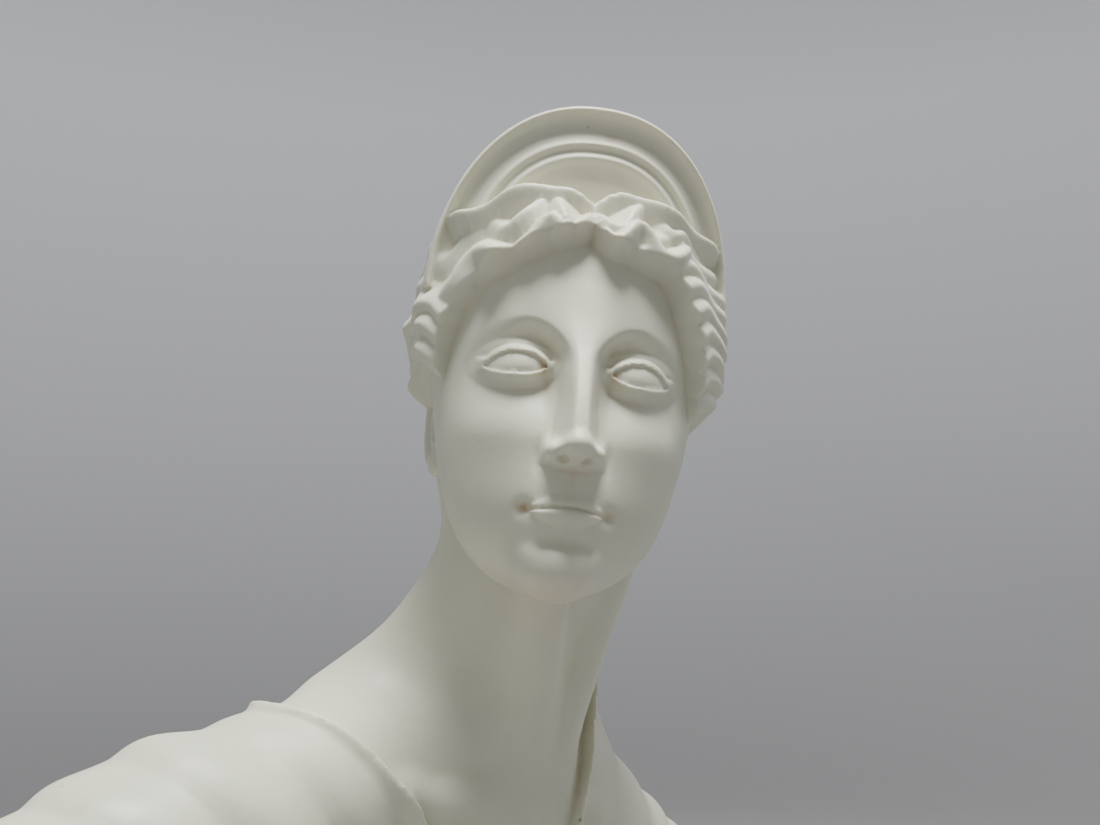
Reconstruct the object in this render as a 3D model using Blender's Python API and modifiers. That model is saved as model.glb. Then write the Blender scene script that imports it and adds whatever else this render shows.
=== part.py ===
"""Bust of a goddess with a crescent diadem, cast in one piece and cut flat below.

Its form is a set of balls and tapered limbs, run together with fillets, with relief carved over them:
the face, the wavy locks, the mouldings of the diadem and the folds of the dress. Rough primitives are
fused by voxels, and each vertex is then brought onto the carved form.
The figure looks toward -Y over its right shoulder (-X), and the underside is at z = 0.
"""

import math

import bmesh
import bpy
import numpy as np
from mathutils import Matrix, Vector

# Driving dimensions, in metres
HEAD_HEIGHT = 0.150
HEAD_LEVEL = 0.270
RIGHT_ARM_REACH = 0.188
DIADEM_HALF_WIDTH = 0.054
DIADEM_HEIGHT = 0.0675
DIADEM_WALL = 0.0042
CLOTH_THICKNESS = 0.0033
ROUGH_VOXEL = 0.0030
FINE_VOXEL = 0.0018

TRIANGLES = 9600
FACE_TRIANGLES = 2200
MARBLE_COLOUR = (0.62, 0.61, 0.55, 1.0)
MARBLE_ROUGHNESS = 0.45

# Below here every length is a share of the head's height, chin to crown.
# The head's pose, in degrees
HEAD_CENTRE = np.array([-0.013, -0.257, HEAD_LEVEL / HEAD_HEIGHT])
HEAD_TURN, HEAD_LIFT, HEAD_LEAN = -38.0, 2.0, 6.0

# The face is three equal parts from the hairline to the chin, with the eyes half way up the head
PART = 1 / 3.5
CHIN_Z = -0.5
NOSE_Z = CHIN_Z + PART
BROW_Z = NOSE_Z + PART
MOUTH_Z = NOSE_Z - PART / 3
EYE_WIDTH = 0.132
EYE_X = EYE_WIDTH + 0.006
EYE_Z = -0.004

NOSTRIL_MIDDLE = (0.025, 0.470, NOSE_Z - 0.004)
NOSTRIL_RADII = (0.010, 0.022, 0.010)

# Bare forms of the head in its own frame (out to its left, forward, up): middle, radii, fillet
SKULL_FORMS = [
    ((0, -0.02, 0.13), (0.318, 0.415, 0.365), 0.0),
    ((0, 0.105, -0.10), (0.285, 0.315, 0.345), 0.10),
    ((0, 0.175, -0.285), (0.215, 0.225, 0.185), 0.08),
    ((0, 0.325, -0.415), (0.085, 0.090, 0.082), 0.07),
]
EAR_MIDDLE = (0.290, -0.035, -0.072)
EAR_RADII = (0.070, 0.026, 0.128)

# the part of the head that is thinned by itself, in (out, back, up)
FACE_MIDDLE = np.array([0.0, -0.40, -0.12])
FACE_RADII = np.array([0.26, 0.20, 0.30])

# Hair: a cap over the skull, its lower edge and the height where it meets the diadem,
# as (degrees round from the front, height)
CAP_MIDDLE = np.array([0.0, -0.02, 0.13])
CAP_RADII = np.array([0.352, 0.444, 0.398])
HAIR_EDGE = [
    (0, 0.285), (8, 0.285), (24, 0.250), (32, 0.225), (40, 0.175), (45, 0.100), (49, -0.020), (54, -0.110),
    (58, -0.060), (63, -0.010), (78, -0.005), (90, -0.020), (105, -0.090), (125, -0.190), (150, -0.260),
    (180, -0.280),
]
HAIR_TOP = [
    (0, 0.420), (14, 0.425), (32, 0.398), (50, 0.345), (66, 0.305), (84, 0.285), (105, 0.255), (130, 0.190),
    (165, 0.090),
]
# how many degrees further back the edge lies at the figure's right temple
RIGHT_SET_BACK = 5.0
# locks from the parting: share of the band's height at the parting and at the temple
PARTING_LOCKS = [(0.10, 0.44), (0.36, 0.62), (0.62, 0.78), (0.86, 0.93)]
PARTING_STOPS = (10, 20, 30, 40, 50, 62, 76, 92, 112, 134, 158)
# locks of the temple: where each starts at the hair's edge (degrees, height)
TEMPLE_LOCKS = [(38, 0.198), (42, 0.150), (45, 0.104), (48, 0.052), (52, 0.000)]
TEMPLE_STEPS = [
    (0, 0.0), (7, 0.016), (15, 0.008), (25, -0.014), (38, -0.022), (55, -0.036), (78, -0.060), (100, -0.085),
]
# strands before the ear: (degrees, height) of their ends
EAR_STRANDS = [((47, 0.085), (52, -0.085)), ((51, 0.050), (55, -0.105))]
WAVE_LENGTH = 0.155
WAVE_SIDE = 0.017
WAVE_PHASE = (-1.77, 1.78)
KNOT_MIDDLE = np.array([0.0, -0.515, 0.02])
KNOT_RADII = (0.150, 0.125, 0.135)

# Diadem: its rim seen from the front, and the wall's plan
RIM_FOOT = 0.170
RIM_HALF = DIADEM_HALF_WIDTH / HEAD_HEIGHT
RIM_RISE = DIADEM_HEIGHT / HEAD_HEIGHT
RIM_SQUARE = 2.3
WALL = DIADEM_WALL / HEAD_HEIGHT
WALL_HALF = RIM_HALF + 0.022
WALL_DEPTH = 0.345
WALL_SET_BACK = 0.030
# mouldings on its front: distance below the rim, height, width
MOULDINGS = [(0.010, 0.014, 0.013), (0.048, -0.010, 0.024), (0.088, 0.011, 0.010), (0.119, 0.012, 0.011)]

# Neck and torso in the bust's frame: balls (middle, radii, fillet) and limbs (ends, radii, fillet)
NOTCH = np.array([0.0, -0.16, 0.815])
NECK_FOOT = (0.0, 0.07, 0.90)
RIGHT_SHOULDER = (-0.80, 0.09, 0.80)
LEFT_SHOULDER = (0.70, 0.17, 0.50)
RIGHT_ARM_END = (-1.45, 0.04, 0.56)
RIGHT_ROOT = (-0.20, 0.10, 0.965)
LEFT_ROOT = (0.22, 0.09, 0.86)
CHEST_BALLS = [
    ((0, 0.10, 0.22), (0.60, 0.40, 0.80), 0.0),
    ((-0.285, -0.225, 0.275), (0.235, 0.215, 0.235), 0.10),
    ((0.285, -0.225, 0.275), (0.235, 0.215, 0.235), 0.10),
    ((-0.30, 0.36, 0.55), (0.24, 0.12, 0.28), 0.12),
    ((0.30, 0.36, 0.55), (0.24, 0.12, 0.28), 0.12),
]
SHOULDER_LIMBS = [
    (RIGHT_ROOT, RIGHT_SHOULDER, 0.222, 0.200, 0.12),
    (LEFT_ROOT, LEFT_SHOULDER, 0.210, 0.190, 0.12),
    (RIGHT_SHOULDER, RIGHT_ARM_END, 0.215, 0.205, 0.06),
    (LEFT_SHOULDER, (0.90, 0.12, -0.15), 0.205, 0.180, 0.08),
]
LEFT_ARM_CUT = np.array([0.70, 0.0, 0.12])
LEFT_END_SLANT = np.array([0.80, 0.0, -0.60])
END_FILLET = 0.02
# how far the form goes on below the underside, before the flat cut
SPARE_DEPTH = 0.05

# Dress: elevation of the neckline seen from a middle point of the chest, in degrees, by degrees round from
# the front (minus is the figure's right), and each fold's start below the neckline with its height
DRAPE_MIDDLE = np.array([-0.06, 0.06, 0.40])
NECKLINE = [
    (-180, 55), (-135, 58), (-94, 57), (-74, 57), (-48, 50), (-28, 41), (-8, 29), (12, 41), (30, 56), (55, 62),
    (80, 62), (120, 59), (180, 55),
]
FOLDS = [
    (0.034, 0.018), (0.140, 0.024), (0.250, 0.016), (0.370, 0.034), (0.490, 0.018), (0.620, 0.036), (0.750, 0.022),
    (0.860, 0.034), (1.010, 0.020), (1.110, 0.032), (1.280, 0.018), (1.420, 0.024), (1.580, 0.0),
]
BUNCHING = 0.28
CLOTH = CLOTH_THICKNESS / HEAD_HEIGHT


def turn_matrix(yaw, pitch, roll):
    """Rotation of the head: yaw about the upright, then the chin's lift, then the lean to its left."""
    cy, sy = math.cos(yaw), math.sin(yaw)
    cp, sp = math.cos(pitch), math.sin(pitch)
    cr, sr = math.cos(roll), math.sin(roll)
    about_up = np.array([[cy, -sy, 0], [sy, cy, 0], [0, 0, 1]])
    about_side = np.array([[1, 0, 0], [0, cp, sp], [0, -sp, cp]])
    about_front = np.array([[cr, 0, sr], [0, 1, 0], [-sr, 0, cr]])
    return about_up @ about_side @ about_front


HEAD_AXES = turn_matrix(*(math.radians(angle) for angle in (HEAD_TURN, HEAD_LIFT, HEAD_LEAN)))


def head_to_bust(point):
    """A point of the head (out to its left, back, up) in the bust's frame."""
    return HEAD_AXES @ np.asarray(point, float) + HEAD_CENTRE


def smooth(low, high, value):
    """0 below low, 1 above high and an even S between them."""
    share = np.clip((value - low) / (high - low), 0.0, 1.0)
    return share * share * (3.0 - 2.0 * share)


def join(first, second, fillet):
    """Union of two fields with a fillet."""
    if fillet == 0.0:
        return np.minimum(first, second)
    share = np.clip(0.5 + 0.5 * (second - first) / fillet, 0.0, 1.0)
    return second + (first - second) * share - fillet * share * (1.0 - share)


def carve(solid, cutter, fillet):
    """Field of the solid with the cutter taken out of it."""
    return -join(-solid, cutter, fillet)


def ball(points, middle, radii):
    """Signed distance, nearly, to an ellipsoid."""
    offset = points - np.asarray(middle, float)
    radii = np.asarray(radii, float)
    near = np.linalg.norm(offset / radii, axis=1)
    slope = np.linalg.norm(offset / (radii * radii), axis=1) + 1e-9
    return near * (near - 1.0) / slope


def limb(points, start, end, start_radius, end_radius):
    """Signed distance to a tapered round limb."""
    start, end = np.asarray(start, float), np.asarray(end, float)
    along = end - start
    share = np.clip((points - start) @ along / (along @ along), 0.0, 1.0)
    reach = np.linalg.norm(points - start - share[:, None] * along, axis=1)
    return reach - (start_radius + (end_radius - start_radius) * share)


def hill(x, z, middle_x, middle_z, width, height):
    """A soft round hill, 1 at its middle."""
    return np.exp(-(((x - middle_x) / width) ** 2) - ((z - middle_z) / height) ** 2)


def groove(value, middle, width):
    """A soft line, 1 along its middle."""
    return np.exp(-(((value - middle) / width) ** 2))


def rule(keys, value):
    """Smooth curve through (place, height) keys that doesn't swing past them."""
    keys = np.asarray(keys, float)
    place, height = keys[:, 0], keys[:, 1]
    step = np.diff(place)
    slope = np.diff(height) / step
    lean = np.empty(len(place))
    lean[0], lean[-1] = slope[0], slope[-1]
    same_way = slope[:-1] * slope[1:] > 0
    total = np.where(same_way, slope[:-1] + slope[1:], 1.0)
    lean[1:-1] = np.where(same_way, 2 * slope[:-1] * slope[1:] / total, 0.0)
    value = np.clip(value, place[0], place[-1])
    i = np.clip(np.searchsorted(place, value, side="right") - 1, 0, len(place) - 2)
    t = (value - place[i]) / step[i]
    start = (2 * t**3 - 3 * t**2 + 1) * height[i] + (t**3 - 2 * t**2 + t) * step[i] * lean[i]
    end = (-2 * t**3 + 3 * t**2) * height[i + 1] + (t**3 - t**2) * step[i] * lean[i + 1]
    return start + end


def flowing_line(points, count):
    """Smooth line through the points, as count even steps, and its length."""
    ends = [2 * np.asarray(points[0]) - points[1], 2 * np.asarray(points[-1]) - points[-2]]
    knots = np.vstack([ends[0], points, ends[1]])
    t = np.linspace(0, 1, 24, endpoint=False)[:, None]
    fine = []
    for a, b, c, d in zip(knots[:-3], knots[1:-2], knots[2:-1], knots[3:]):
        cubic = (3 * b - a - 3 * c + d) * t**3
        fine.append(0.5 * (2 * b + (c - a) * t + (2 * a - 5 * b + 4 * c - d) * t**2 + cubic))
    fine = np.vstack(fine + [knots[-2][None]])
    travelled = np.concatenate([[0], np.cumsum(np.linalg.norm(np.diff(fine, axis=0), axis=1))])
    stops = np.linspace(0, travelled[-1], count)
    return np.column_stack([np.interp(stops, travelled, axis) for axis in fine.T]), travelled[-1]


def brow_edge(a):
    """Height of the brow's edge, an even arch from the nose outward."""
    curl = np.where(a < 0.135, 1.0, 0.62)
    return BROW_Z + 0.026 - 6.0 * curl * (a - 0.135) ** 2


def socket_relief(a, z):
    """Depth of the eye sockets under the brow, deepest beside the nose."""
    edge = brow_edge(a)
    softness = 0.032 + 0.045 * smooth(0.11, 0.22, a)
    under_brow = smooth(edge + 0.012, edge - softness, z)
    across = smooth(0.018, 0.072, a) * (1 - smooth(0.200, 0.285, a))
    depth = 0.036 + 0.020 * smooth(0.16, 0.06, a)
    return -depth * under_brow * across * smooth(-0.115, -0.035, z)


def eye_relief(a, z):
    """The eyeball and its two lids, as they stand out of the socket."""
    across, up = a - EYE_X, z - EYE_Z
    u = across / (EYE_WIDTH / 2)
    dome = np.clip(1 - (across / 0.100) ** 2 - ((up + 0.002) / 0.068) ** 2, 0, None) ** 0.8
    corner_lift = 0.003 * u
    upper = 0.0290 * np.clip(1 - np.abs(u + 0.08) ** 2.3, 0, None) ** 0.85 + corner_lift
    lower = -0.0205 * np.clip(1 - np.abs(u - 0.05) ** 2.5, 0, None) ** 0.9 + corner_lift
    outside = np.maximum(up - upper, lower - up)
    outside = np.where(np.abs(u) > 1, np.maximum(outside, (np.abs(u) - 1) * EYE_WIDTH / 2), outside)
    over = smooth(-0.006, 0.006, up - corner_lift)
    top_lid = 0.0110 * smooth(-0.0020, 0.0028, outside) * (1 - smooth(0.011, 0.023, outside))
    top_lid -= 0.0045 * groove(outside, 0.0215, 0.0055)
    low_lid = 0.0075 * smooth(-0.0020, 0.0028, outside) * (1 - smooth(0.007, 0.021, outside))
    lids = (top_lid * over + low_lid * (1 - over)) * smooth(1.45, 1.0, np.abs(u))
    return 0.030 * dome + lids


def nose_relief(a, z):
    """The nose's ridge, its rounded tip and its wings."""
    ridge = rule([(-0.228, 0.0), (-0.222, 0.030), (NOSE_Z, 0.066), (-0.204, 0.092), (-0.186, 0.104), (-0.160, 0.102),
                  (-0.10, 0.083), (-0.02, 0.050), (0.05, 0.022), (0.12, 0.006), (0.20, 0.0)], z)
    width = rule([(-0.24, 0.050), (-0.19, 0.056), (-0.15, 0.052), (-0.08, 0.046), (0.0, 0.048), (0.06, 0.080),
                  (0.15, 0.14)], z)
    tip = 0.010 * hill(a, z, 0, -0.184, 0.026, 0.024)
    wings = 0.046 * hill(a, z, 0.045, NOSE_Z + 0.022, 0.019, 0.024)
    wings *= smooth(NOSE_Z - 0.010, NOSE_Z + 0.002, z)
    crease = 0.007 * hill(a, z, 0.073, NOSE_Z + 0.020, 0.010, 0.028)
    return ridge * (1 - smooth(0.20, 1.0, a / width)) + tip + wings - crease


def mouth_relief(a, z):
    """The mound of the mouth, its two lips, the dip under them and the chin."""
    half = 0.086
    v = np.clip(a / half, 0, 1)
    line = MOUTH_Z + 0.003 * np.cos(v * math.pi) - 0.003 * v**3
    bow = MOUTH_Z + 0.034 - 0.007 * groove(a, 0, 0.012) - 0.034 * v**1.9
    low = MOUTH_Z - 0.041 + 0.041 * v**2.4
    upper = np.clip((z - line) / np.maximum(bow - line, 0.004), 0, 1)
    under = np.clip((line - z) / np.maximum(line - low, 0.004), 0, 1)
    lower_lip = 0.021 * np.clip(np.sin(math.pi * (0.22 + 0.78 * under)), 0, 1) ** 0.8
    lips = np.where(z > line, 0.0148 * np.clip(1 - upper**1.6, 0, 1), lower_lip)
    relief = 0.020 * hill(a, z, 0, MOUTH_Z + 0.004, 0.105, 0.072) + lips * smooth(1.04, 0.74, a / half)
    relief -= 0.009 * groove(z, line, 0.0050) * smooth(1.05, 0.85, a / half)
    relief -= 0.011 * hill(a, z, half + 0.002, MOUTH_Z - 0.002, 0.017, 0.017)
    relief -= 0.004 * hill(a, z, 0, MOUTH_Z + 0.056, 0.011, 0.020)
    relief -= 0.018 * hill(a, z, 0, MOUTH_Z - 0.068, 0.070, 0.020)
    return relief + 0.014 * hill(a, z, 0, CHIN_Z + 0.062, 0.055, 0.045)


def face_relief(x, z):
    """How far the features stand forward of the plain face."""
    a = np.abs(x)
    relief = socket_relief(a, z) + eye_relief(a, z) + nose_relief(a, z) + mouth_relief(a, z)
    relief += 0.012 * hill(a, z, 0.185, -0.135, 0.085, 0.075)
    return relief - 0.010 * hill(a, z, 0.30, 0.06, 0.05, 0.09)


def head_field(half):
    """The bare head, in (out to either side, forward, up)."""
    out, forward, up = half.T
    relief = face_relief(out, up) * smooth(0.02, 0.16, forward)
    carved = np.column_stack([out, forward - relief, up])
    field = np.full(len(half), np.inf)
    for middle, radii, fillet in SKULL_FORMS:
        form = ball(carved, middle, radii)
        field = form if fillet == 0.0 else join(field, form, fillet)
    return carve(field, ball(half, NOSTRIL_MIDDLE, NOSTRIL_RADII), 0.006)


def rim_of(points, bends, height, radius):
    """A thin rolled rim that follows the bends, at one height over the ear's plate."""
    line, length = flowing_line([(b[0], height, b[1]) for b in bends], 12)
    field = np.full(len(points), 1.0)
    for start, end in zip(line[:-1], line[1:]):
        field = np.minimum(field, limb(points, start, end, radius, radius))
    return field


def ear_field(half):
    """The ear: a plate that leans back, with its two rims, bowl and lobe."""
    offset = half - EAR_MIDDLE
    along = offset[:, 1] + 0.2 * offset[:, 2]
    own = np.column_stack([along, offset[:, 0] + 0.22 * along, offset[:, 2]])
    outer = [(0.045, 0.0), (0.050, 0.075), (0.010, 0.118), (-0.045, 0.095), (-0.066, 0.03), (-0.052, -0.045),
             (-0.02, -0.095)]
    inner = [(0.018, 0.070), (-0.022, 0.045), (-0.030, -0.005), (-0.012, -0.050), (0.018, -0.062)]
    field = ball(own, (0, 0, 0), EAR_RADII)
    field = join(field, rim_of(own, outer, 0.020, 0.013), 0.006)
    field = join(field, rim_of(own, inner, 0.016, 0.011), 0.006)
    field = join(field, ball(own, (0.012, 0.012, -0.108), (0.034, 0.019, 0.034)), 0.014)
    field = carve(field, ball(own, (0.010, 0.030, -0.018), (0.030, 0.024, 0.042)), 0.008)
    return join(field, ball(own, (0.044, 0.016, -0.018), (0.016, 0.013, 0.026)), 0.008)


def on_cap(degrees, height):
    """Point of the hair's cap, by degrees round from the front and by height."""
    waist = math.sqrt(max(0.0, 1 - ((height - CAP_MIDDLE[2]) / CAP_RADII[2]) ** 2))
    angle = math.radians(degrees)
    out = CAP_RADII[0] * waist * math.sin(angle)
    return (out, CAP_MIDDLE[1] + CAP_RADII[1] * waist * math.cos(angle), height)


def wavy_lock(stops, count, phase, swell, height, width, sharp):
    """A wavy lock through (degrees, height) stops: its line, outward directions, heights, widths and sharpness."""
    line, length = flowing_line([on_cap(*stop) for stop in stops], count)
    travelled = np.linspace(0, length, count)
    ahead = np.gradient(line, axis=0)
    ahead /= np.linalg.norm(ahead, axis=1)[:, None]
    outward = (line - CAP_MIDDLE) / CAP_RADII**2
    outward /= np.linalg.norm(outward, axis=1)[:, None]
    upward = np.cross(outward, ahead)
    upward *= np.sign(upward[:, 2:3] + 1e-9)
    wave = 2 * math.pi * travelled / WAVE_LENGTH + phase
    side = WAVE_SIDE * smooth(0.0, swell, travelled)
    line = line + upward * (side * np.sin(wave))[:, None]
    grown = smooth(-0.02, swell, travelled) * (1 - 0.6 * smooth(length - 0.14, length, travelled))
    heights = height * grown * (1 + 0.16 * np.sin(wave + 0.7))
    widths = width * (0.70 + 0.30 * smooth(0.0, 0.10, travelled) + 0.25 * smooth(0.30, 0.50, travelled))
    fades = sharp[0] + (sharp[1] - sharp[0]) * smooth(0.18, 0.34, travelled)
    return line, outward, heights, widths, fades


def side_locks(phase, set_back):
    """Every lock of one side of the head."""
    locks = []
    for i, (first, last) in enumerate(PARTING_LOCKS):
        stops = [(1.0, 0.298 + 0.125 * first)]
        for at in PARTING_STOPS:
            turn = smooth(18, 50, at)
            past_temple = smooth(30, 48, at)
            low = (1 - past_temple) * rule(HAIR_EDGE, min(at, 40)) + past_temple * rule(HAIR_EDGE, at)
            low = max(low, 0.02 - 0.0028 * max(0, at - 80)) + 0.012
            stops.append((at, low + (rule(HAIR_TOP, at) - low) * (first + (last - first) * turn)))
        locks.append(wavy_lock(stops, 76, phase - 0.35 * i, 0.07, 0.036, 0.036, (1.15, 0.65)))
    for i, (first, height) in enumerate(TEMPLE_LOCKS):
        stops = [(first + set_back + step, height + lift) for step, lift in TEMPLE_STEPS]
        locks.append(wavy_lock(stops, 60, phase + 1.2 + 0.9 * i, 0.05, 0.046, 0.034, (0.60, 0.60)))
    for start, end in EAR_STRANDS:
        middle = ((start[0] + end[0]) / 2 + 1.5, (start[1] + end[1]) / 2)
        stops = [(degrees + set_back, height) for degrees, height in (start, middle, end)]
        locks.append(wavy_lock(stops, 16, 0.0, 0.05, 0.022, 0.020, (0.9, 0.9)))
    return locks


SIDE_LOCKS = [side_locks(phase, set_back) for phase, set_back in zip(WAVE_PHASE, (RIGHT_SET_BACK, 0.0))]
LOCK_RUN = 8
LOCK_REACH = 0.07


def locks_relief(half, locks):
    """How far the locks stand out of the hair's cap."""
    relief = np.zeros(len(half))
    for line, outward, heights, widths, fades in locks:
        for first in range(0, len(line) - 1, LOCK_RUN):
            last = min(first + LOCK_RUN, len(line) - 1)
            stretch = line[first:last + 1]
            close = (half > stretch.min(0) - LOCK_REACH) & (half < stretch.max(0) + LOCK_REACH)
            near = np.flatnonzero(close.all(axis=1))
            for k in range(first, last):
                along = line[k + 1] - line[k]
                offset = half[near] - line[k]
                share = np.clip(offset @ along / (along @ along), 0, 1)
                offset = offset - share[:, None] * along
                away = np.sqrt(np.clip((offset**2).sum(1) - (offset @ outward[k]) ** 2, 0, None))
                crest = np.clip(1 - away / (widths[k] + (widths[k + 1] - widths[k]) * share), 0, 1)
                height = heights[k] + (heights[k + 1] - heights[k]) * share
                relief[near] = np.maximum(relief[near], height * crest ** fades[k])
    return relief


def cap_field(half, left_side):
    """The hair: a cap that starts softly at its edge, combed in fine ridges behind and in locks in front."""
    offset = half - CAP_MIDDLE
    degrees = np.degrees(np.arctan2(half[:, 0], offset[:, 1]))
    set_back = np.where(left_side, 0.0, RIGHT_SET_BACK) * smooth(30, 44, degrees) * smooth(80, 60, degrees)
    over_edge = half[:, 2] - rule(HAIR_EDGE, degrees - set_back)
    spread = np.arctan2(offset[:, 0], offset[:, 2] + 0.18)
    comb = np.abs(np.sin(13 * spread + 0.9 * np.sin(16 * offset[:, 1]))) - 0.5
    field = ball(half, CAP_MIDDLE, CAP_RADII) - 0.012 * comb * smooth(0.25, 0.05, half[:, 1])
    relief = np.zeros(len(half))
    for locks, side in zip(SIDE_LOCKS, (~left_side, left_side)):
        relief[side] = locks_relief(half[side], locks)
    soft_start = smooth(-0.012, 0.045, over_edge)
    return field - relief * (0.25 + 0.75 * soft_start) + 0.055 * (1 - soft_start)


def knot_field(half):
    """The knot of hair at the back, wound in a spiral."""
    offset = half - KNOT_MIDDLE
    turn = np.arctan2(offset[:, 2], offset[:, 0])
    spiral = np.abs(np.sin(2.5 * turn + 22 * np.hypot(offset[:, 0], offset[:, 2]))) - 0.5
    return ball(half, KNOT_MIDDLE, KNOT_RADII) - 0.008 * spiral


def wall_distance(out, forward):
    """Distance outward from the middle of the diadem's wall, in plan."""
    deep = forward + WALL_SET_BACK
    ring = np.hypot(out / WALL_HALF, deep / WALL_DEPTH) + 1e-9
    slope = np.hypot(out / WALL_HALF**2, deep / WALL_DEPTH**2) + 1e-9
    return (ring - 1) * ring / slope


def diadem_field(half):
    """The crescent that stands over the front hair, with mouldings that follow its rim."""
    out, forward, up = half.T
    raised = np.clip(up - RIM_FOOT, 0, None)
    ring = ((out / RIM_HALF) ** RIM_SQUARE + (raised / RIM_RISE) ** RIM_SQUARE) ** (1 / RIM_SQUARE)
    below = (1 - ring) * (RIM_HALF + (RIM_RISE - RIM_HALF) * smooth(0, 0.4, raised))
    profile = sum(height * groove(below, place, width) for place, height, width in MOULDINGS)
    profile -= 0.006 * smooth(0.13, 0.16, below) + 0.25 * np.clip(below - 0.165, 0, 0.1)
    lean = 0.10 * (0.10 - below)
    wall = wall_distance(out, forward)
    field = np.maximum(wall - lean - profile - 0.010, lean - WALL + 0.008 - wall)
    field = -join(-field, below, 0.014)
    field = np.maximum(field, RIM_FOOT + 0.03 - up)
    return np.maximum(field, -forward - 0.045)


def neck_limbs():
    """The neck's column, its two slanting muscles and the windpipe: ends, radii, fillet."""
    limbs = [(NECK_FOOT, head_to_bust((0, 0.085, -0.16)), 0.215, 0.190, 0.0)]
    for side in (-1, 1):
        behind_ear = head_to_bust((0.225 * side, 0.10, -0.20))
        limbs.append((behind_ear, NOTCH + (0.045 * side, 0.025, 0.03), 0.045, 0.032, 0.06))
    limbs.append((head_to_bust((0, -0.12, -0.40)), NOTCH + (0, 0.06, 0.08), 0.065, 0.05, 0.07))
    return limbs


def collar_limbs():
    """Collar bones and the slopes from the nape to the shoulders: ends, radii, fillet."""
    limbs = []
    for side, root, tip in ((-1, RIGHT_ROOT, RIGHT_SHOULDER), (1, LEFT_ROOT, LEFT_SHOULDER)):
        nape = head_to_bust((0.06 * side, 0.20, -0.36))
        limbs.append((nape, np.add(root, (0.12 * side, 0.06, 0.11)), 0.090, 0.080, 0.12))
        inner = NOTCH + (0.05 * side, 0.015, 0.01)
        middle = 0.55 * NOTCH + 0.45 * np.array(tip) + (0, -0.045, 0.10)
        outer = np.add(tip, (-0.20 * side, -0.03, 0.17))
        bone, length = flowing_line([inner, middle, outer], 7)
        limbs += [(start, end, 0.026, 0.026, 0.05) for start, end in zip(bone[:-1], bone[1:])]
    return limbs


NECK_LIMBS = neck_limbs()
TORSO_LIMBS = SHOULDER_LIMBS + collar_limbs()


def body_field(points):
    """Bare neck, chest, shoulders and arms."""
    torso = np.full(len(points), np.inf)
    for middle, radii, fillet in CHEST_BALLS:
        form = ball(points, middle, radii)
        torso = form if fillet == 0.0 else join(torso, form, fillet)
    for start, end, first, last, fillet in TORSO_LIMBS:
        torso = join(torso, limb(points, start, end, first, last), fillet)
    neck = np.full(len(points), np.inf)
    for start, end, first, last, fillet in NECK_LIMBS:
        form = limb(points, start, end, first, last)
        neck = form if fillet == 0.0 else join(neck, form, fillet)
    return join(torso, neck, 0.14)


def drape_relief(points):
    """Height of the cloth and its folds over the bare body."""
    offset = points - DRAPE_MIDDLE
    degrees = np.degrees(np.arctan2(offset[:, 0], -offset[:, 1]))
    climb = np.degrees(np.arctan2(offset[:, 2], np.hypot(offset[:, 0], offset[:, 1])))
    below = np.radians(rule(NECKLINE, degrees) - climb) * np.linalg.norm(offset, axis=1)
    around = np.radians(degrees)
    tight = 1 - BUNCHING * np.sin(around) ** 2
    edges = [start * tight for start, height in FOLDS]
    for i in range(1, len(edges)):
        edges[i] = edges[i] + 0.022 * np.sin(2.3 * around + 1.9 * i) + 0.010 * np.sin(4.9 * around + 0.8 * i)
    folds = np.zeros(len(points))
    calm = 0.30 + 0.70 * smooth(80, 25, np.abs(degrees + 5))
    for i, (start, height) in enumerate(FOLDS[:-1]):
        share = np.clip((below - edges[i]) / np.maximum(edges[i + 1] - edges[i], 0.04), 0, 1)
        fullness = height * (0.66 + 0.36 * np.sin(1.7 * around + 2.4 * i) + 0.18 * np.sin(4.1 * around + 1.3 * i))
        swell = np.sin(math.pi * share) ** 1.5
        folds = np.maximum(folds, calm * fullness * swell)
    hem = 0.008 * groove(below, 0.016, 0.012) - 0.008 * smooth(0.02, 0.05, below)
    return CLOTH * smooth(0.0, 0.014, below) + hem + folds


def left_end_field(points):
    """Distance past the slanting cut across the figure's left arm."""
    return (points - LEFT_ARM_CUT) @ LEFT_END_SLANT


def bust_field(points):
    """Field of the whole bust, below zero inside it; points are in shares of the head's height."""
    field = body_field(points)
    clothed = points[:, 2] < 1.32
    field[clothed] -= drape_relief(points[clothed])
    near = np.flatnonzero(np.linalg.norm(points - HEAD_CENTRE, axis=1) < 0.85)
    own = (points[near] - HEAD_CENTRE) @ HEAD_AXES
    half = np.column_stack([np.abs(own[:, 0]), -own[:, 1], own[:, 2]])
    head = join(head_field(half), ear_field(half), 0.012)
    hair = join(cap_field(half, own[:, 0] > 0), knot_field(half), 0.03)
    head = join(join(head, hair, 0.012), diadem_field(half), 0.010)
    field[near] = join(field[near], head, 0.008)
    right_end = -points[:, 0] - RIGHT_ARM_REACH / HEAD_HEIGHT
    for end in (right_end, left_end_field(points)):
        field = -join(-field, -end, END_FILLET)
    return np.maximum(field, -points[:, 2] - SPARE_DEPTH)


def add_primitive(mesh, maker, **settings):
    """One primitive, made by itself and then added to the mesh."""
    piece = bmesh.new()
    maker(piece, **settings)
    data = bpy.data.meshes.new("primitive")
    piece.to_mesh(data)
    piece.free()
    mesh.from_mesh(data)
    bpy.data.meshes.remove(data)


def add_ball(mesh, middle, radii, axes=np.eye(3)):
    """Rough primitive of a ball, in metres."""
    place = Matrix.Translation(Vector(middle) * HEAD_HEIGHT)
    turn = Matrix(axes.tolist()).to_4x4()
    size = Matrix.Diagonal((*(Vector(radii) * HEAD_HEIGHT), 1.0))
    add_primitive(mesh, bmesh.ops.create_uvsphere, u_segments=24, v_segments=16, radius=1.0,
                  matrix=place @ turn @ size)


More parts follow.
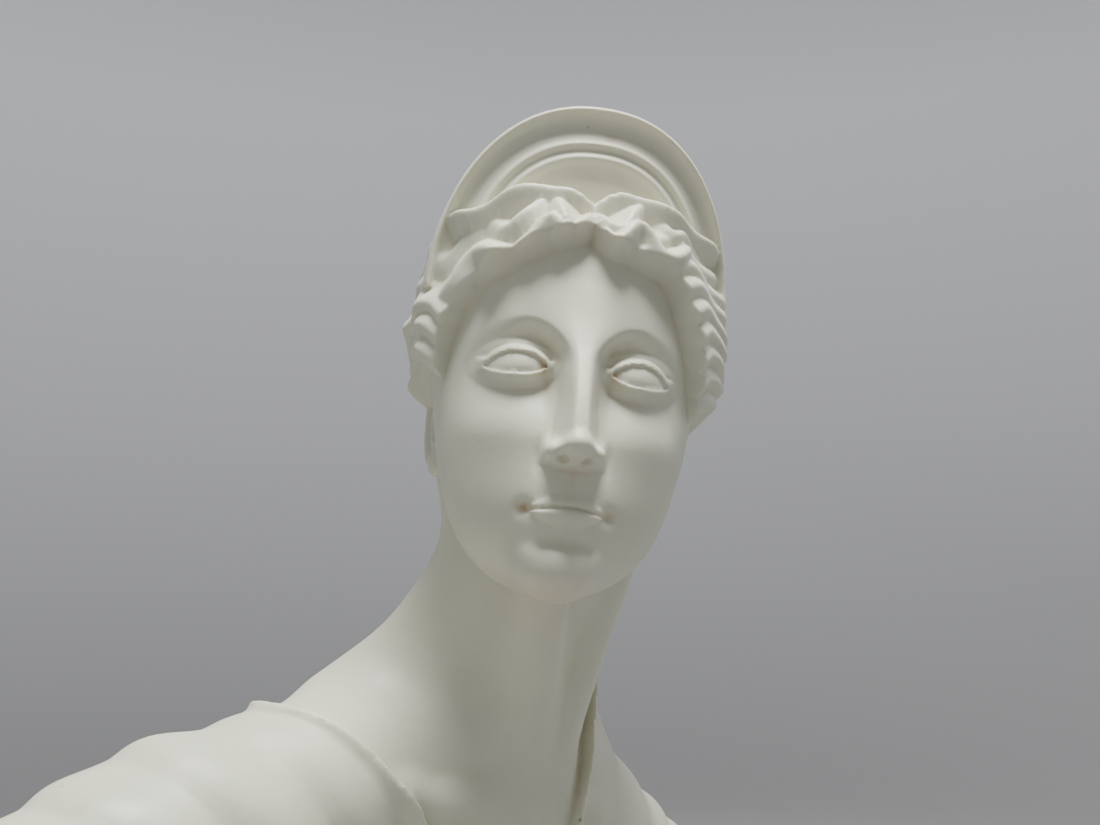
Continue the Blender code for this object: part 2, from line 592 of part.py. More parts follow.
def add_limb(mesh, start, end, first, last):
    """Rough primitive of a limb: a cone between two balls."""
    add_ball(mesh, start, (first,) * 3)
    add_ball(mesh, end, (last,) * 3)
    start, end = Vector(start) * HEAD_HEIGHT, Vector(end) * HEAD_HEIGHT
    place = Matrix.Translation((start + end) / 2) @ (end - start).to_track_quat("Z", "Y").to_matrix().to_4x4()
    add_primitive(mesh, bmesh.ops.create_cone, cap_ends=True, segments=24, radius1=first * HEAD_HEIGHT,
                  radius2=last * HEAD_HEIGHT, depth=(end - start).length, matrix=place)


def add_diadem(mesh):
    """Rough wall of the diadem: a grid bent round the head, cut to the rim's arch and made solid."""
    piece = bmesh.new()
    bmesh.ops.create_grid(piece, x_segments=48, y_segments=16, size=1.0)
    for vert in piece.verts:
        angle = 0.49 * math.pi * vert.co.x
        out = WALL_HALF * math.sin(angle)
        forward = WALL_DEPTH * math.cos(angle) - WALL_SET_BACK
        arch = max(0.0, 1 - min(1.0, abs(out) / RIM_HALF) ** RIM_SQUARE) ** (1 / RIM_SQUARE)
        up = RIM_FOOT + max(RIM_RISE * arch, 0.06) * (vert.co.y + 1) / 2
        vert.co = Vector(head_to_bust((out, -forward, up))) * HEAD_HEIGHT
    bmesh.ops.recalc_face_normals(piece, faces=piece.faces[:])
    bmesh.ops.solidify(piece, geom=piece.faces[:], thickness=DIADEM_WALL)
    bmesh.ops.recalc_face_normals(piece, faces=piece.faces[:])
    data = bpy.data.meshes.new("diadem wall")
    piece.to_mesh(data)
    piece.free()
    mesh.from_mesh(data)
    bpy.data.meshes.remove(data)


def rough_bust():
    """All the primitives as one mesh, still overlapping."""
    mesh = bmesh.new()
    for middle, radii, fillet in CHEST_BALLS:
        add_ball(mesh, middle, radii)
    for start, end, first, last, fillet in NECK_LIMBS + TORSO_LIMBS:
        add_limb(mesh, start, end, first, last)
    own_forms = [(middle, radii) for middle, radii, fillet in SKULL_FORMS]
    own_forms += [(CAP_MIDDLE, CAP_RADII), (KNOT_MIDDLE, KNOT_RADII)]
    for side in (-1, 1):
        out, forward, up = EAR_MIDDLE
        own_forms.append(((out * side, forward, up), (EAR_RADII[1] + 0.03, EAR_RADII[0], EAR_RADII[2])))
    for (out, forward, up), radii in own_forms:
        add_ball(mesh, head_to_bust((out, -forward, up)), radii, HEAD_AXES)
    add_diadem(mesh)
    arm_run = Vector(RIGHT_SHOULDER) - Vector(RIGHT_ARM_END)
    for vert in mesh.verts:
        past_reach = max(0.0, -RIGHT_ARM_REACH - vert.co.x)
        vert.co += arm_run * (past_reach / arm_run.x)
        vert.co.z = max(vert.co.z, -SPARE_DEPTH * HEAD_HEIGHT)
        past_end = max(0.0, left_end_field(np.array(vert.co) / HEAD_HEIGHT) * HEAD_HEIGHT)
        vert.co -= Vector(LEFT_END_SLANT) * past_end
    data = bpy.data.meshes.new("rough bust")
    mesh.to_mesh(data)
    mesh.free()
    return data


def fused(data, voxel):
    """The mesh remade as one skin of even voxels."""
    holder = bpy.data.objects.new("fusing", data)
    bpy.context.scene.collection.objects.link(holder)
    remesh = holder.modifiers.new("fuse", "REMESH")
    remesh.mode = "VOXEL"
    remesh.voxel_size = voxel
    remesh.adaptivity = 0.0
    result = bpy.data.meshes.new_from_object(holder.evaluated_get(bpy.context.evaluated_depsgraph_get()))
    bpy.data.objects.remove(holder)
    return result


def field_at(points):
    """The bust's field, worked out in parts to spare memory."""
    return np.concatenate([bust_field(part) for part in np.array_split(points, len(points) // 60000 + 1)])


def relaxed(points, edges, share):
    """Each point moved a share of the way to the middle of its neighbours."""
    count = len(points)
    ends = np.concatenate([edges, edges[:, ::-1]])
    neighbours = np.bincount(ends[:, 0], minlength=count)
    middle = np.column_stack([np.bincount(ends[:, 0], points[ends[:, 1], k], count) for k in range(3)])
    return points + share * (middle / neighbours[:, None] - points)


def settle(data, passes, limit, slack):
    """Bring every vertex onto the carved form along its own normal, by no more than the limit at each pass."""
    count = len(data.vertices)
    edges = np.empty(len(data.edges) * 2, np.int32)
    data.edges.foreach_get("vertices", edges)
    probe = 0.002
    for turn in range(passes):
        places = np.empty(count * 3, np.float32)
        normals = np.empty(count * 3, np.float32)
        data.vertices.foreach_get("co", places)
        data.vertex_normals.foreach_get("vector", normals)
        points = places.reshape(-1, 3).astype(float) / HEAD_HEIGHT
        normals = normals.reshape(-1, 3)
        field = field_at(points)
        steepness = np.clip(np.abs(field_at(points + probe * normals) - field) / probe, 1.0, 8.0)
        points -= normals * np.clip(field / steepness, -limit, limit)[:, None]
        points = relaxed(points, edges.reshape(-1, 2), slack)
        data.vertices.foreach_set("co", (points * HEAD_HEIGHT).astype(np.float32).ravel())
        data.update()


def marble():
    """Cast marble, an ivory white."""
    material = bpy.data.materials.new("cast_marble")
    material.use_nodes = True
    shader = material.node_tree.nodes["Principled BSDF"]
    shader.inputs["Base Color"].default_value = MARBLE_COLOUR
    shader.inputs["Roughness"].default_value = MARBLE_ROUGHNESS
    shader.inputs["Metallic"].default_value = 0.0
    material.diffuse_color = MARBLE_COLOUR
    return material


def thinned(data, face, triangles):
    """The mesh with its face, or all but its face, thinned to so many triangles."""
    places = np.empty(len(data.vertices) * 3, np.float32)
    data.vertices.foreach_get("co", places)
    own = (places.reshape(-1, 3) / HEAD_HEIGHT - HEAD_CENTRE) @ HEAD_AXES
    on_face = np.linalg.norm((own - FACE_MIDDLE) / FACE_RADII, axis=1) < 1
    data.calc_loop_triangles()
    corners = np.empty(len(data.loop_triangles) * 3, np.int32)
    data.loop_triangles.foreach_get("vertices", corners)
    count = int((on_face[corners.reshape(-1, 3)].all(axis=1) == face).sum())
    holder = bpy.data.objects.new("thinning", data)
    bpy.context.scene.collection.objects.link(holder)
    group = holder.vertex_groups.new(name="face")
    group.add(on_face.nonzero()[0].tolist(), 1.0, "REPLACE")
    thin = holder.modifiers.new("thin", "DECIMATE")
    thin.vertex_group = group.name
    thin.invert_vertex_group = not face
    thin.ratio = 1 - (count - triangles) / len(data.loop_triangles)
    result = bpy.data.meshes.new_from_object(holder.evaluated_get(bpy.context.evaluated_depsgraph_get()))
    bpy.data.objects.remove(holder)
    return result


def build_bust():
    """The bust as one solid, thinned to its triangle budget and cut flat at z = 0."""
    data = fused(rough_bust(), ROUGH_VOXEL)
    settle(data, 4, 0.030, 0.25)
    data = fused(data, ROUGH_VOXEL)
    settle(data, 3, 0.030, 0.12)
    data = fused(data, FINE_VOXEL)
    settle(data, 3, 0.012, 0.04)
    data = fused(data, FINE_VOXEL)
    settle(data, 2, 0.008, 0.10)
    data = thinned(data, True, FACE_TRIANGLES)
    data = thinned(data, False, TRIANGLES - FACE_TRIANGLES)
    mesh = bmesh.new()
    mesh.from_mesh(data)
    everything = mesh.verts[:] + mesh.edges[:] + mesh.faces[:]
    cut = bmesh.ops.bisect_plane(mesh, geom=everything, dist=1e-6, plane_co=(0, 0, 0), plane_no=(0, 0, 1),
                                 clear_inner=True)
    rim = [item for item in cut["geom_cut"] if isinstance(item, bmesh.types.BMEdge)]
    bmesh.ops.holes_fill(mesh, edges=rim)
    bmesh.ops.triangulate(mesh, faces=[face for face in mesh.faces if len(face.verts) > 3])
    bmesh.ops.recalc_face_normals(mesh, faces=mesh.faces[:])
    final = bpy.data.meshes.new("bust")
    mesh.to_mesh(final)
    mesh.free()
    final.shade_smooth()
    final.set_sharp_from_angle(angle=math.radians(40))
    return bpy.data.objects.new("bust", final)


def main():
    for item in list(bpy.data.objects):
        bpy.data.objects.remove(item)
    collection = bpy.data.collections.new("goddess bust")
    bpy.context.scene.collection.children.link(collection)
    bust = build_bust()
    bust.data.materials.append(marble())
    collection.objects.link(bust)


main()
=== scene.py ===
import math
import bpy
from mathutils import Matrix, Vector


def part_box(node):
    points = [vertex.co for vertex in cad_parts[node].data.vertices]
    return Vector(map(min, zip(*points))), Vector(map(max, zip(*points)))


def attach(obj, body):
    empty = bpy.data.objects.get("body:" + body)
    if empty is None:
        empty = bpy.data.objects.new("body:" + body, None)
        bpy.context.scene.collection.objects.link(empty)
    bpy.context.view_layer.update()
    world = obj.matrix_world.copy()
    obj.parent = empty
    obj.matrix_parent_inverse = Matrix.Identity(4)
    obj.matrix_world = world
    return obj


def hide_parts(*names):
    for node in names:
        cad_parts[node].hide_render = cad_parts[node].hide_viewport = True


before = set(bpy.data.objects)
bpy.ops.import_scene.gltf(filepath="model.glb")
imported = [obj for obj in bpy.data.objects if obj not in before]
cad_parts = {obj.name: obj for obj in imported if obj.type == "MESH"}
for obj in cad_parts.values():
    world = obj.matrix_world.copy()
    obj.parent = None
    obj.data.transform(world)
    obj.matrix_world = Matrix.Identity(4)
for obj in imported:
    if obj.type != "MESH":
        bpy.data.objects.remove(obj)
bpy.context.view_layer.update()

# The bust's fine carving and finish. It stands for the solid of the same name: the same forms, remade with
# finer voxels, so that the locks, the face, the ears and the folds carry their detail in the mesh.
from concurrent.futures import ThreadPoolExecutor

import bmesh
import bpy
import numpy as np
from mathutils import Vector

LOW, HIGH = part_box("bust")

# Driving sizes, from the frame: the whole height is so many heads, chin to crown
HEADS_HIGH = 2.4311
HEAD_HEIGHT = (HIGH[2] - LOW[2]) / HEADS_HIGH
RIGHT_ARM_REACH = -LOW[0] / HEAD_HEIGHT
VOXEL = 0.0085
COARSE = 4
NEAR_STEPS = 1.3
REACH_LOW = (-1.29, -0.77, -0.080)
REACH_HIGH = (0.99, 0.60, 2.46)
DIVIDED_ABOVE = 1.22
TRIANGLES = 190000

# Below here every length is a share of the head's height, chin to crown.
# The head's pose, in degrees
HEAD_CENTRE = np.array([-0.013, -0.257, 1.80])
HEAD_TURN, HEAD_LIFT, HEAD_LEAN = -38.0, 2.0, 6.0

# The face is three equal parts from the hairline to the chin, with the eyes half way up the head
PART = 1 / 3.5
CHIN_Z = -0.5
NOSE_Z = CHIN_Z + PART
BROW_Z = NOSE_Z + PART
MOUTH_Z = NOSE_Z - PART / 3
EYE_WIDTH = 0.132
EYE_X = EYE_WIDTH + 0.006
EYE_Z = -0.004

NOSTRIL_MIDDLE = (0.024, 0.468, NOSE_Z - 0.001)
NOSTRIL_RADII = (0.012, 0.025, 0.013)
# the balls of the nose's tip and wings: middle, radii, fillet
NOSE_BALLS = [
    ((0.0, 0.500, -0.184), (0.029, 0.034, 0.025), 0.016),
    ((0.043, 0.448, -0.195), (0.020, 0.034, 0.021), 0.012),
]

# Bare forms of the head in its own frame (out to its left, forward, up): middle, radii, fillet
SKULL_FORMS = [
    ((0, -0.02, 0.13), (0.318, 0.415, 0.365), 0.0),
    ((0, 0.105, -0.10), (0.285, 0.315, 0.345), 0.10),
    ((0, 0.175, -0.285), (0.215, 0.225, 0.185), 0.08),
    ((0, 0.325, -0.415), (0.085, 0.090, 0.082), 0.07),
]
EAR_MIDDLE = (0.266, -0.035, -0.072)
EAR_RADII = (0.070, 0.026, 0.128)

# Hair: a cap over the skull, and its lower edge on the figure's right and left,
# as (degrees round from the front, height)
CAP_MIDDLE = np.array([0.0, -0.02, 0.13])
CAP_RADII = np.array([0.352, 0.444, 0.398])
HAIR_EDGE_BEHIND = [
    (82, -0.005), (92, -0.020), (105, -0.090), (125, -0.190), (150, -0.260), (180, -0.280),
]
HAIR_EDGES = [
    [(0, 0.285), (10, 0.262), (18, 0.238), (27, 0.208), (34, 0.178), (42, 0.135), (47, 0.085), (51, 0.020),
     (54, -0.060), (58, -0.105), (62, -0.060), (67, -0.010)] + HAIR_EDGE_BEHIND,
    [(0, 0.285), (6, 0.252), (14, 0.238), (24, 0.230), (29, 0.205), (33, 0.150), (38, 0.090), (43, 0.020),
     (48, -0.060), (53, -0.105), (58, -0.060), (64, -0.010)] + HAIR_EDGE_BEHIND,
]
# the crests of the locks from the parting, on the figure's right and on its left
PARTING_LOCKS = [
    [
        [(0.5, 0.276), (7, 0.244), (15, 0.304), (21, 0.264), (26, 0.230), (30, 0.222), (36, 0.236),
         (43, 0.248), (48, 0.222), (51, 0.184), (56, 0.158), (64, 0.168), (80, 0.150), (100, 0.105),
         (124, 0.045), (150, -0.015)],
        [(0.5, 0.345), (8, 0.276), (15.5, 0.356), (20, 0.356), (25, 0.312), (31, 0.284), (37, 0.306),
         (43, 0.328), (50, 0.305), (62, 0.262), (80, 0.247), (100, 0.200), (124, 0.135), (150, 0.065)],
        [(0.5, 0.362), (8, 0.364), (17, 0.368), (25, 0.366), (35, 0.352), (49, 0.328), (64, 0.330),
         (82, 0.305), (104, 0.265), (130, 0.200), (156, 0.135)],
    ],
    [
        [(0.5, 0.322), (3, 0.292), (6.5, 0.270), (10, 0.280), (15, 0.312), (20, 0.302), (25, 0.268),
         (31, 0.266), (38, 0.300), (45, 0.310), (58, 0.290)],
        [(0.5, 0.348), (3, 0.320), (7, 0.298), (11, 0.308), (16, 0.352), (21, 0.366), (26, 0.350),
         (31, 0.316), (38, 0.332), (50, 0.310), (66, 0.285), (82, 0.255), (102, 0.205), (126, 0.135),
         (150, 0.065)],
        [(0.5, 0.364), (6, 0.372), (15, 0.372), (22, 0.366), (29, 0.356), (40, 0.348), (54, 0.332),
         (70, 0.320), (90, 0.285), (114, 0.235), (140, 0.175)],
    ],
]
# the crests of the locks from the temples: where each starts at the hair's edge, and its steps from there
TEMPLE_LOCKS = [
    [(49, 0.105), (50.5, 0.058), (52.5, 0.010)],
    [(14, 0.262), (22, 0.216), (27, 0.180), (32, 0.140), (36, 0.098), (40, 0.054), (44, 0.008),
     (47, -0.040)],
]
TEMPLE_STEPS = [
    (0, 0.0), (4.5, 0.007), (11, 0.040), (17, 0.050), (22, 0.043), (28, 0.026), (36, 0.020),
    (48, 0.016), (66, -0.004), (88, -0.035), (110, -0.070),
]
# strands before the ear: (degrees, height) of their ends
EAR_STRANDS = [
    [((51, 0.075), (56, -0.075)), ((54, 0.040), (59, -0.095))],
    [((46, 0.060), (51, -0.075)), ((49, 0.030), (54, -0.095))],
]
# how far each kind of lock stands out, its half width, and its sharpness in front and behind
PARTING_HEIGHTS = (0.050, 0.050, 0.068)
PARTING_WIDTH = 0.052
PARTING_SHARP = (1.25, 0.9)
TEMPLE_HEIGHT = 0.040
TEMPLE_WIDTH = 0.043
TEMPLE_SHARP = (0.72, 0.80)
STRAND_HEIGHT = 0.022
STRAND_WIDTH = 0.020
STRAND_SHARP = (0.9, 0.9)
LOCK_STEP = 0.016
WAVE_LENGTH = 0.155
WAVE_SIDE = 0.012
CREST_ROUND = 0.011
KNOT_MIDDLE = np.array([0.0, -0.515, 0.02])
KNOT_RADII = (0.150, 0.125, 0.135)

# Diadem: its rim seen from the front, and the wall's plan
RIM_FOOT = 0.170
RIM_HALF = 0.36
RIM_RISE = 0.45
RIM_SQUARE = 2.3
WALL = 0.028
WALL_HALF = RIM_HALF + 0.022
WALL_DEPTH = 0.345
WALL_SET_BACK = 0.030
# mouldings on its front: distance below the rim, height, width
MOULDINGS = [(0.010, 0.014, 0.013), (0.048, -0.010, 0.024), (0.088, 0.011, 0.010), (0.119, 0.012, 0.011)]

# Neck and torso in the bust's frame: balls (middle, radii, fillet) and limbs (ends, radii, fillet)
NOTCH = np.array([0.0, -0.16, 0.815])
NECK_FOOT = (0.0, 0.07, 0.90)
RIGHT_SHOULDER = (-0.80, 0.09, 0.80)
LEFT_SHOULDER = (0.70, 0.17, 0.50)
RIGHT_ARM_END = (-1.45, 0.04, 0.56)
RIGHT_ROOT = (-0.20, 0.10, 0.965)
LEFT_ROOT = (0.22, 0.09, 0.86)
CHEST_BALLS = [
    ((0, 0.10, 0.22), (0.60, 0.40, 0.80), 0.0),
    ((-0.285, -0.225, 0.275), (0.235, 0.215, 0.235), 0.10),
    ((0.285, -0.225, 0.275), (0.235, 0.215, 0.235), 0.10),
    ((-0.30, 0.36, 0.55), (0.24, 0.12, 0.28), 0.12),
    ((0.30, 0.36, 0.55), (0.24, 0.12, 0.28), 0.12),
]
SHOULDER_LIMBS = [
    (RIGHT_ROOT, RIGHT_SHOULDER, 0.222, 0.200, 0.12),
    (LEFT_ROOT, LEFT_SHOULDER, 0.210, 0.190, 0.12),
    (RIGHT_SHOULDER, RIGHT_ARM_END, 0.215, 0.205, 0.06),
    (LEFT_SHOULDER, (0.90, 0.12, -0.15), 0.205, 0.180, 0.08),
]
LEFT_ARM_CUT = np.array([0.70, 0.0, 0.12])
LEFT_END_SLANT = np.array([0.80, 0.0, -0.60])
END_FILLET = 0.02
# how far the form goes on below the underside, before the flat cut
SPARE_DEPTH = 0.05

# Dress: elevation of the neckline seen from a middle point of the chest, in degrees, by degrees
# round from the front (minus is the figure's right), and each fold's start below it with its height
DRAPE_MIDDLE = np.array([-0.06, 0.06, 0.40])
NECKLINE = [
    (-180, 55), (-135, 58), (-94, 54), (-74, 56), (-48, 53), (-28, 44), (-8, 31), (12, 41), (30, 56), (55, 62),
    (80, 62), (120, 59), (180, 55),
]
FOLDS = [
    (0.034, 0.022), (0.250, 0.038), (0.490, 0.033), (0.750, 0.040), (1.010, 0.033), (1.280, 0.030),
    (1.580, 0.0),
]
BUNCHING = 0.28
CLOTH = 0.022

# Finish: colours of the marble and of its painted shade and highlight, and its stains as (side, out, up, width,
# height, strength) on the head
IVORY = (0.668, 0.662, 0.530, 1.0)
COOL_IVORY = (0.615, 0.632, 0.515, 1.0)
# the marble's own paler mottle, also used as a painted highlight on the carving's crests
PALE_MOTTLE_AND_HIGHLIGHT = (0.715, 0.715, 0.600, 1.0)
# painted shade: the warmer, darker tint laid into the carving's hollows
WARM_HOLLOW_SHADE = (0.610, 0.540, 0.375, 1.0)
# painted shade: the warm tint on the chin's down-facing underside
PEACH_CHIN_SHADE = (0.720, 0.600, 0.470, 1.0)
STAIN = (0.420, 0.265, 0.095, 1.0)
# painted shade: the dark in the fine pits
PIT_SHADE = (0.230, 0.190, 0.130, 1.0)
STAINS = [
    (-1, 0.078, -0.008, 0.013, 0.014, 0.75), (1, 0.076, -0.010, 0.011, 0.012, 0.85),
    (-1, 0.087, MOUTH_Z, 0.014, 0.009, 0.9), (1, 0.087, MOUTH_Z, 0.012, 0.008, 0.6),
    (1, 0.02, 0.555, 0.014, 0.010, 0.35),
]
HOLLOW_PASSES = 14
HOLLOW_DEPTH = 0.0012

# Studio and camera
FLOOR_RADIUS = 0.95
FLOOR_RINGS = 4
FLOOR_SIDES = 96
SWEEP_RADIUS = 0.80
SWEEP_STEPS = 16
BACKDROP_HEIGHT = 1.35
# painted light: the floor painted dark and the backdrop pale, so that it darkens low down and brightens higher up
PAINTED_SHADE_FLOOR_COLOUR = (0.25, 0.25, 0.26, 1.0)
PAINTED_LIGHT_BACKDROP_COLOUR = (0.90, 0.91, 0.95, 1.0)
PAINTED_LIGHT_FROM = 1.05
WORLD_COLOUR = (0.60, 0.61, 0.63, 1.0)
WORLD_STRENGTH = 0.50
PHOTO_WIDTH = 1100
FOCAL_PIXELS = 1365
CAMERA_SHIFT = (-17.0, -9.5)
CAMERA_DISTANCE = 3.29
AIM = (0.0, -0.27, 1.80)
CAMERA_ANGLES = (-45.0, -9.0)


def turn_matrix(yaw, pitch, roll):
    """Rotation of the head: yaw about the upright, then the chin's lift, then the lean to its left."""
    cy, sy = math.cos(yaw), math.sin(yaw)
    cp, sp = math.cos(pitch), math.sin(pitch)
    cr, sr = math.cos(roll), math.sin(roll)
    about_up = np.array([[cy, -sy, 0], [sy, cy, 0], [0, 0, 1]])
    about_side = np.array([[1, 0, 0], [0, cp, sp], [0, -sp, cp]])
    about_front = np.array([[cr, 0, sr], [0, 1, 0], [-sr, 0, cr]])
    return about_up @ about_side @ about_front


HEAD_AXES = turn_matrix(*(math.radians(angle) for angle in (HEAD_TURN, HEAD_LIFT, HEAD_LEAN)))


def head_to_bust(point):
    """A point of the head (out to its left, back, up) in the bust's frame."""
    return HEAD_AXES @ np.asarray(point, float) + HEAD_CENTRE


def smooth(low, high, value):
    """0 below low, 1 above high and an even S between them."""
    share = np.clip((value - low) / (high - low), 0.0, 1.0)
    return share * share * (3.0 - 2.0 * share)


def join(first, second, fillet):
    """Union of two fields with a fillet."""
    if fillet == 0.0:
        return np.minimum(first, second)
    share = np.clip(0.5 + 0.5 * (second - first) / fillet, 0.0, 1.0)
    return second + (first - second) * share - fillet * share * (1.0 - share)


def carve(solid, cutter, fillet):
    """Field of the solid with the cutter taken out of it."""
    return -join(-solid, cutter, fillet)


def ball(points, middle, radii):
    """Signed distance, nearly, to an ellipsoid."""
    offset = points - np.asarray(middle, float)
    radii = np.asarray(radii, float)
    near = np.linalg.norm(offset / radii, axis=1)
    slope = np.linalg.norm(offset / (radii * radii), axis=1) + 1e-9
    return near * (near - 1.0) / slope


def limb(points, start, end, start_radius, end_radius):
    """Signed distance to a tapered round limb."""
    start, end = np.asarray(start, float), np.asarray(end, float)
    along = end - start
    share = np.clip((points - start) @ along / (along @ along), 0.0, 1.0)
    reach = np.linalg.norm(points - start - share[:, None] * along, axis=1)
    return reach - (start_radius + (end_radius - start_radius) * share)


def hill(x, z, middle_x, middle_z, width, height):
    """A soft round hill, 1 at its middle."""
    return np.exp(-(((x - middle_x) / width) ** 2) - ((z - middle_z) / height) ** 2)


def groove(value, middle, width):
    """A soft line, 1 along its middle."""
    return np.exp(-(((value - middle) / width) ** 2))


def rule(keys, value):
    """Smooth curve through (place, height) keys that doesn't swing past them."""
    keys = np.asarray(keys, float)
    place, height = keys[:, 0], keys[:, 1]
    step = np.diff(place)
    slope = np.diff(height) / step
    lean = np.empty(len(place))
    lean[0], lean[-1] = slope[0], slope[-1]
    same_way = slope[:-1] * slope[1:] > 0
    total = np.where(same_way, slope[:-1] + slope[1:], 1.0)
    lean[1:-1] = np.where(same_way, 2 * slope[:-1] * slope[1:] / total, 0.0)
    value = np.clip(value, place[0], place[-1])
    i = np.clip(np.searchsorted(place, value, side="right") - 1, 0, len(place) - 2)
    t = (value - place[i]) / step[i]
    start = (2 * t**3 - 3 * t**2 + 1) * height[i] + (t**3 - 2 * t**2 + t) * step[i] * lean[i]
    end = (-2 * t**3 + 3 * t**2) * height[i + 1] + (t**3 - t**2) * step[i] * lean[i + 1]
    return start + end


def flowing_line(points, count):
    """Smooth line through the points, as count even steps, and its length."""
    ends = [2 * np.asarray(points[0]) - points[1], 2 * np.asarray(points[-1]) - points[-2]]
    knots = np.vstack([ends[0], points, ends[1]])
    t = np.linspace(0, 1, 24, endpoint=False)[:, None]
    fine = []
    for a, b, c, d in zip(knots[:-3], knots[1:-2], knots[2:-1], knots[3:]):
        cubic = (3 * b - a - 3 * c + d) * t**3
        fine.append(0.5 * (2 * b + (c - a) * t + (2 * a - 5 * b + 4 * c - d) * t**2 + cubic))
    fine = np.vstack(fine + [knots[-2][None]])
    travelled = np.concatenate([[0], np.cumsum(np.linalg.norm(np.diff(fine, axis=0), axis=1))])
    stops = np.linspace(0, travelled[-1], count)
    return np.column_stack([np.interp(stops, travelled, axis) for axis in fine.T]), travelled[-1]


def brow_edge(a):
    """Height of the brow's edge, an even arch from the nose outward."""
    curl = np.where(a < 0.135, 1.0, 0.62)
    return BROW_Z + 0.026 - 6.0 * curl * (a - 0.135) ** 2


def socket_relief(a, z):
    """Depth of the eye sockets under the brow, deepest beside the nose."""
    edge = brow_edge(a)
    softness = 0.032 + 0.045 * smooth(0.11, 0.22, a)
    under_brow = smooth(edge + 0.012, edge - softness, z)
    across = smooth(0.018, 0.072, a) * (1 - smooth(0.200, 0.285, a))
    depth = 0.029 + 0.018 * smooth(0.16, 0.06, a)
    return -depth * under_brow * across * smooth(-0.170, -0.020, z)


def eye_relief(a, z):
    """The eyeball and its two lids, as they stand out of the socket."""
    across, up = a - EYE_X, z - EYE_Z
    u = across / (EYE_WIDTH / 2)
    dome = np.clip(1 - (across / 0.100) ** 2 - (up / np.where(up < 0, 0.054, 0.068)) ** 2, 0, None) ** 1.15
    corner_lift = 0.003 * u
    upper = 0.0290 * np.clip(1 - np.abs(u + 0.08) ** 2.3, 0, None) ** 0.85 + corner_lift
    lower = -0.0205 * np.clip(1 - np.abs(u - 0.05) ** 2.5, 0, None) ** 0.9 + corner_lift
    outside = np.maximum(up - upper, lower - up)
    outside = np.where(np.abs(u) > 1, np.maximum(outside, (np.abs(u) - 1) * EYE_WIDTH / 2), outside)
    over = smooth(-0.006, 0.006, up - corner_lift)
    top_lid = 0.0110 * smooth(-0.0020, 0.0028, outside) * (1 - smooth(0.011, 0.023, outside))
    top_lid -= 0.0045 * groove(outside, 0.0215, 0.0055)
    low_lid = 0.0075 * smooth(-0.0020, 0.0028, outside) * (1 - smooth(0.007, 0.021, outside))
    lids = (top_lid * over + low_lid * (1 - over)) * smooth(1.45, 1.0, np.abs(u))
    return 0.034 * dome + lids


def nose_relief(a, z):
    """The nose's ridge, its rounded tip and its wings."""
    ridge = rule([(-0.228, 0.0), (-0.221, 0.024), (NOSE_Z, 0.054), (-0.204, 0.080), (-0.186, 0.096),
                  (-0.160, 0.098), (-0.10, 0.082), (-0.02, 0.050), (0.05, 0.022), (0.12, 0.006),
                  (0.20, 0.0)], z)
    width = rule([(-0.24, 0.050), (-0.19, 0.056), (-0.15, 0.052), (-0.08, 0.046), (0.0, 0.048), (0.06, 0.080),
                  (0.15, 0.14)], z)
    tip = 0.010 * hill(a, z, 0, -0.184, 0.026, 0.024)
    wings = 0.046 * hill(a, z, 0.045, NOSE_Z + 0.022, 0.019, 0.024)
    wings *= smooth(NOSE_Z - 0.010, NOSE_Z + 0.002, z)
    crease = 0.007 * hill(a, z, 0.073, NOSE_Z + 0.020, 0.010, 0.028)
    return ridge * (1 - smooth(0.20, 1.0, a / width)) + tip + wings - crease


def mouth_relief(a, z):
    """The mound of the mouth, its two lips, the dip under them and the chin."""
    half = 0.090
    v = np.clip(a / half, 0, 1)
    line = MOUTH_Z + 0.003 * np.cos(v * math.pi) - 0.003 * v**3
    bow = MOUTH_Z + 0.034 - 0.007 * groove(a, 0, 0.012) - 0.034 * v**1.9
    low = MOUTH_Z - 0.041 + 0.041 * v**1.9
    upper = np.clip((z - line) / np.maximum(bow - line, 0.004), 0, 1)
    under = np.clip((line - z) / np.maximum(line - low, 0.004), 0, 1)
    lower_lip = 0.021 * np.clip(np.sin(math.pi * (0.22 + 0.78 * under)), 0, 1) ** 0.8
    lips = np.where(z > line, 0.0148 * np.clip(1 - upper**1.6, 0, 1), lower_lip)
    relief = 0.020 * hill(a, z, 0, MOUTH_Z + 0.004, 0.105, 0.072) + lips * smooth(1.04, 0.62, a / half)
    relief -= 0.009 * groove(z, line, 0.0050) * smooth(1.05, 0.85, a / half)
    relief -= 0.011 * hill(a, z, half + 0.002, MOUTH_Z - 0.002, 0.017, 0.017)
    relief -= 0.004 * hill(a, z, 0, MOUTH_Z + 0.056, 0.011, 0.020)
    relief -= 0.018 * hill(a, z, 0, MOUTH_Z - 0.068, 0.070, 0.020)
    return relief + 0.014 * hill(a, z, 0, CHIN_Z + 0.062, 0.055, 0.045)


def face_relief(x, z):
    """How far the features stand forward of the plain face."""
    a = np.abs(x)
    relief = socket_relief(a, z) + eye_relief(a, z) + nose_relief(a, z) + mouth_relief(a, z)
    relief += 0.012 * hill(a, z, 0.185, -0.135, 0.085, 0.075)
    return relief - 0.010 * hill(a, z, 0.30, 0.06, 0.05, 0.09)


def head_field(half):
    """The bare head, in (out to either side, forward, up)."""
    out, forward, up = half.T
    relief = face_relief(out, up) * smooth(0.02, 0.16, forward)
    carved = np.column_stack([out, forward - relief, up])
    field = np.full(len(half), np.inf)
    for middle, radii, fillet in SKULL_FORMS:
        form = ball(carved, middle, radii)
        field = form if fillet == 0.0 else join(field, form, fillet)
    for middle, radii, fillet in NOSE_BALLS:
        field = join(field, ball(half, middle, radii), fillet)
    return carve(field, ball(half, NOSTRIL_MIDDLE, NOSTRIL_RADII), 0.006)


def rim_of(points, bends, height, radius):
    """A thin rolled rim that follows the bends, at one height over the ear's plate."""
    line, length = flowing_line([(b[0], height, b[1]) for b in bends], 12)
    field = np.full(len(points), 1.0)
    for start, end in zip(line[:-1], line[1:]):
        field = np.minimum(field, limb(points, start, end, radius, radius))
    return field


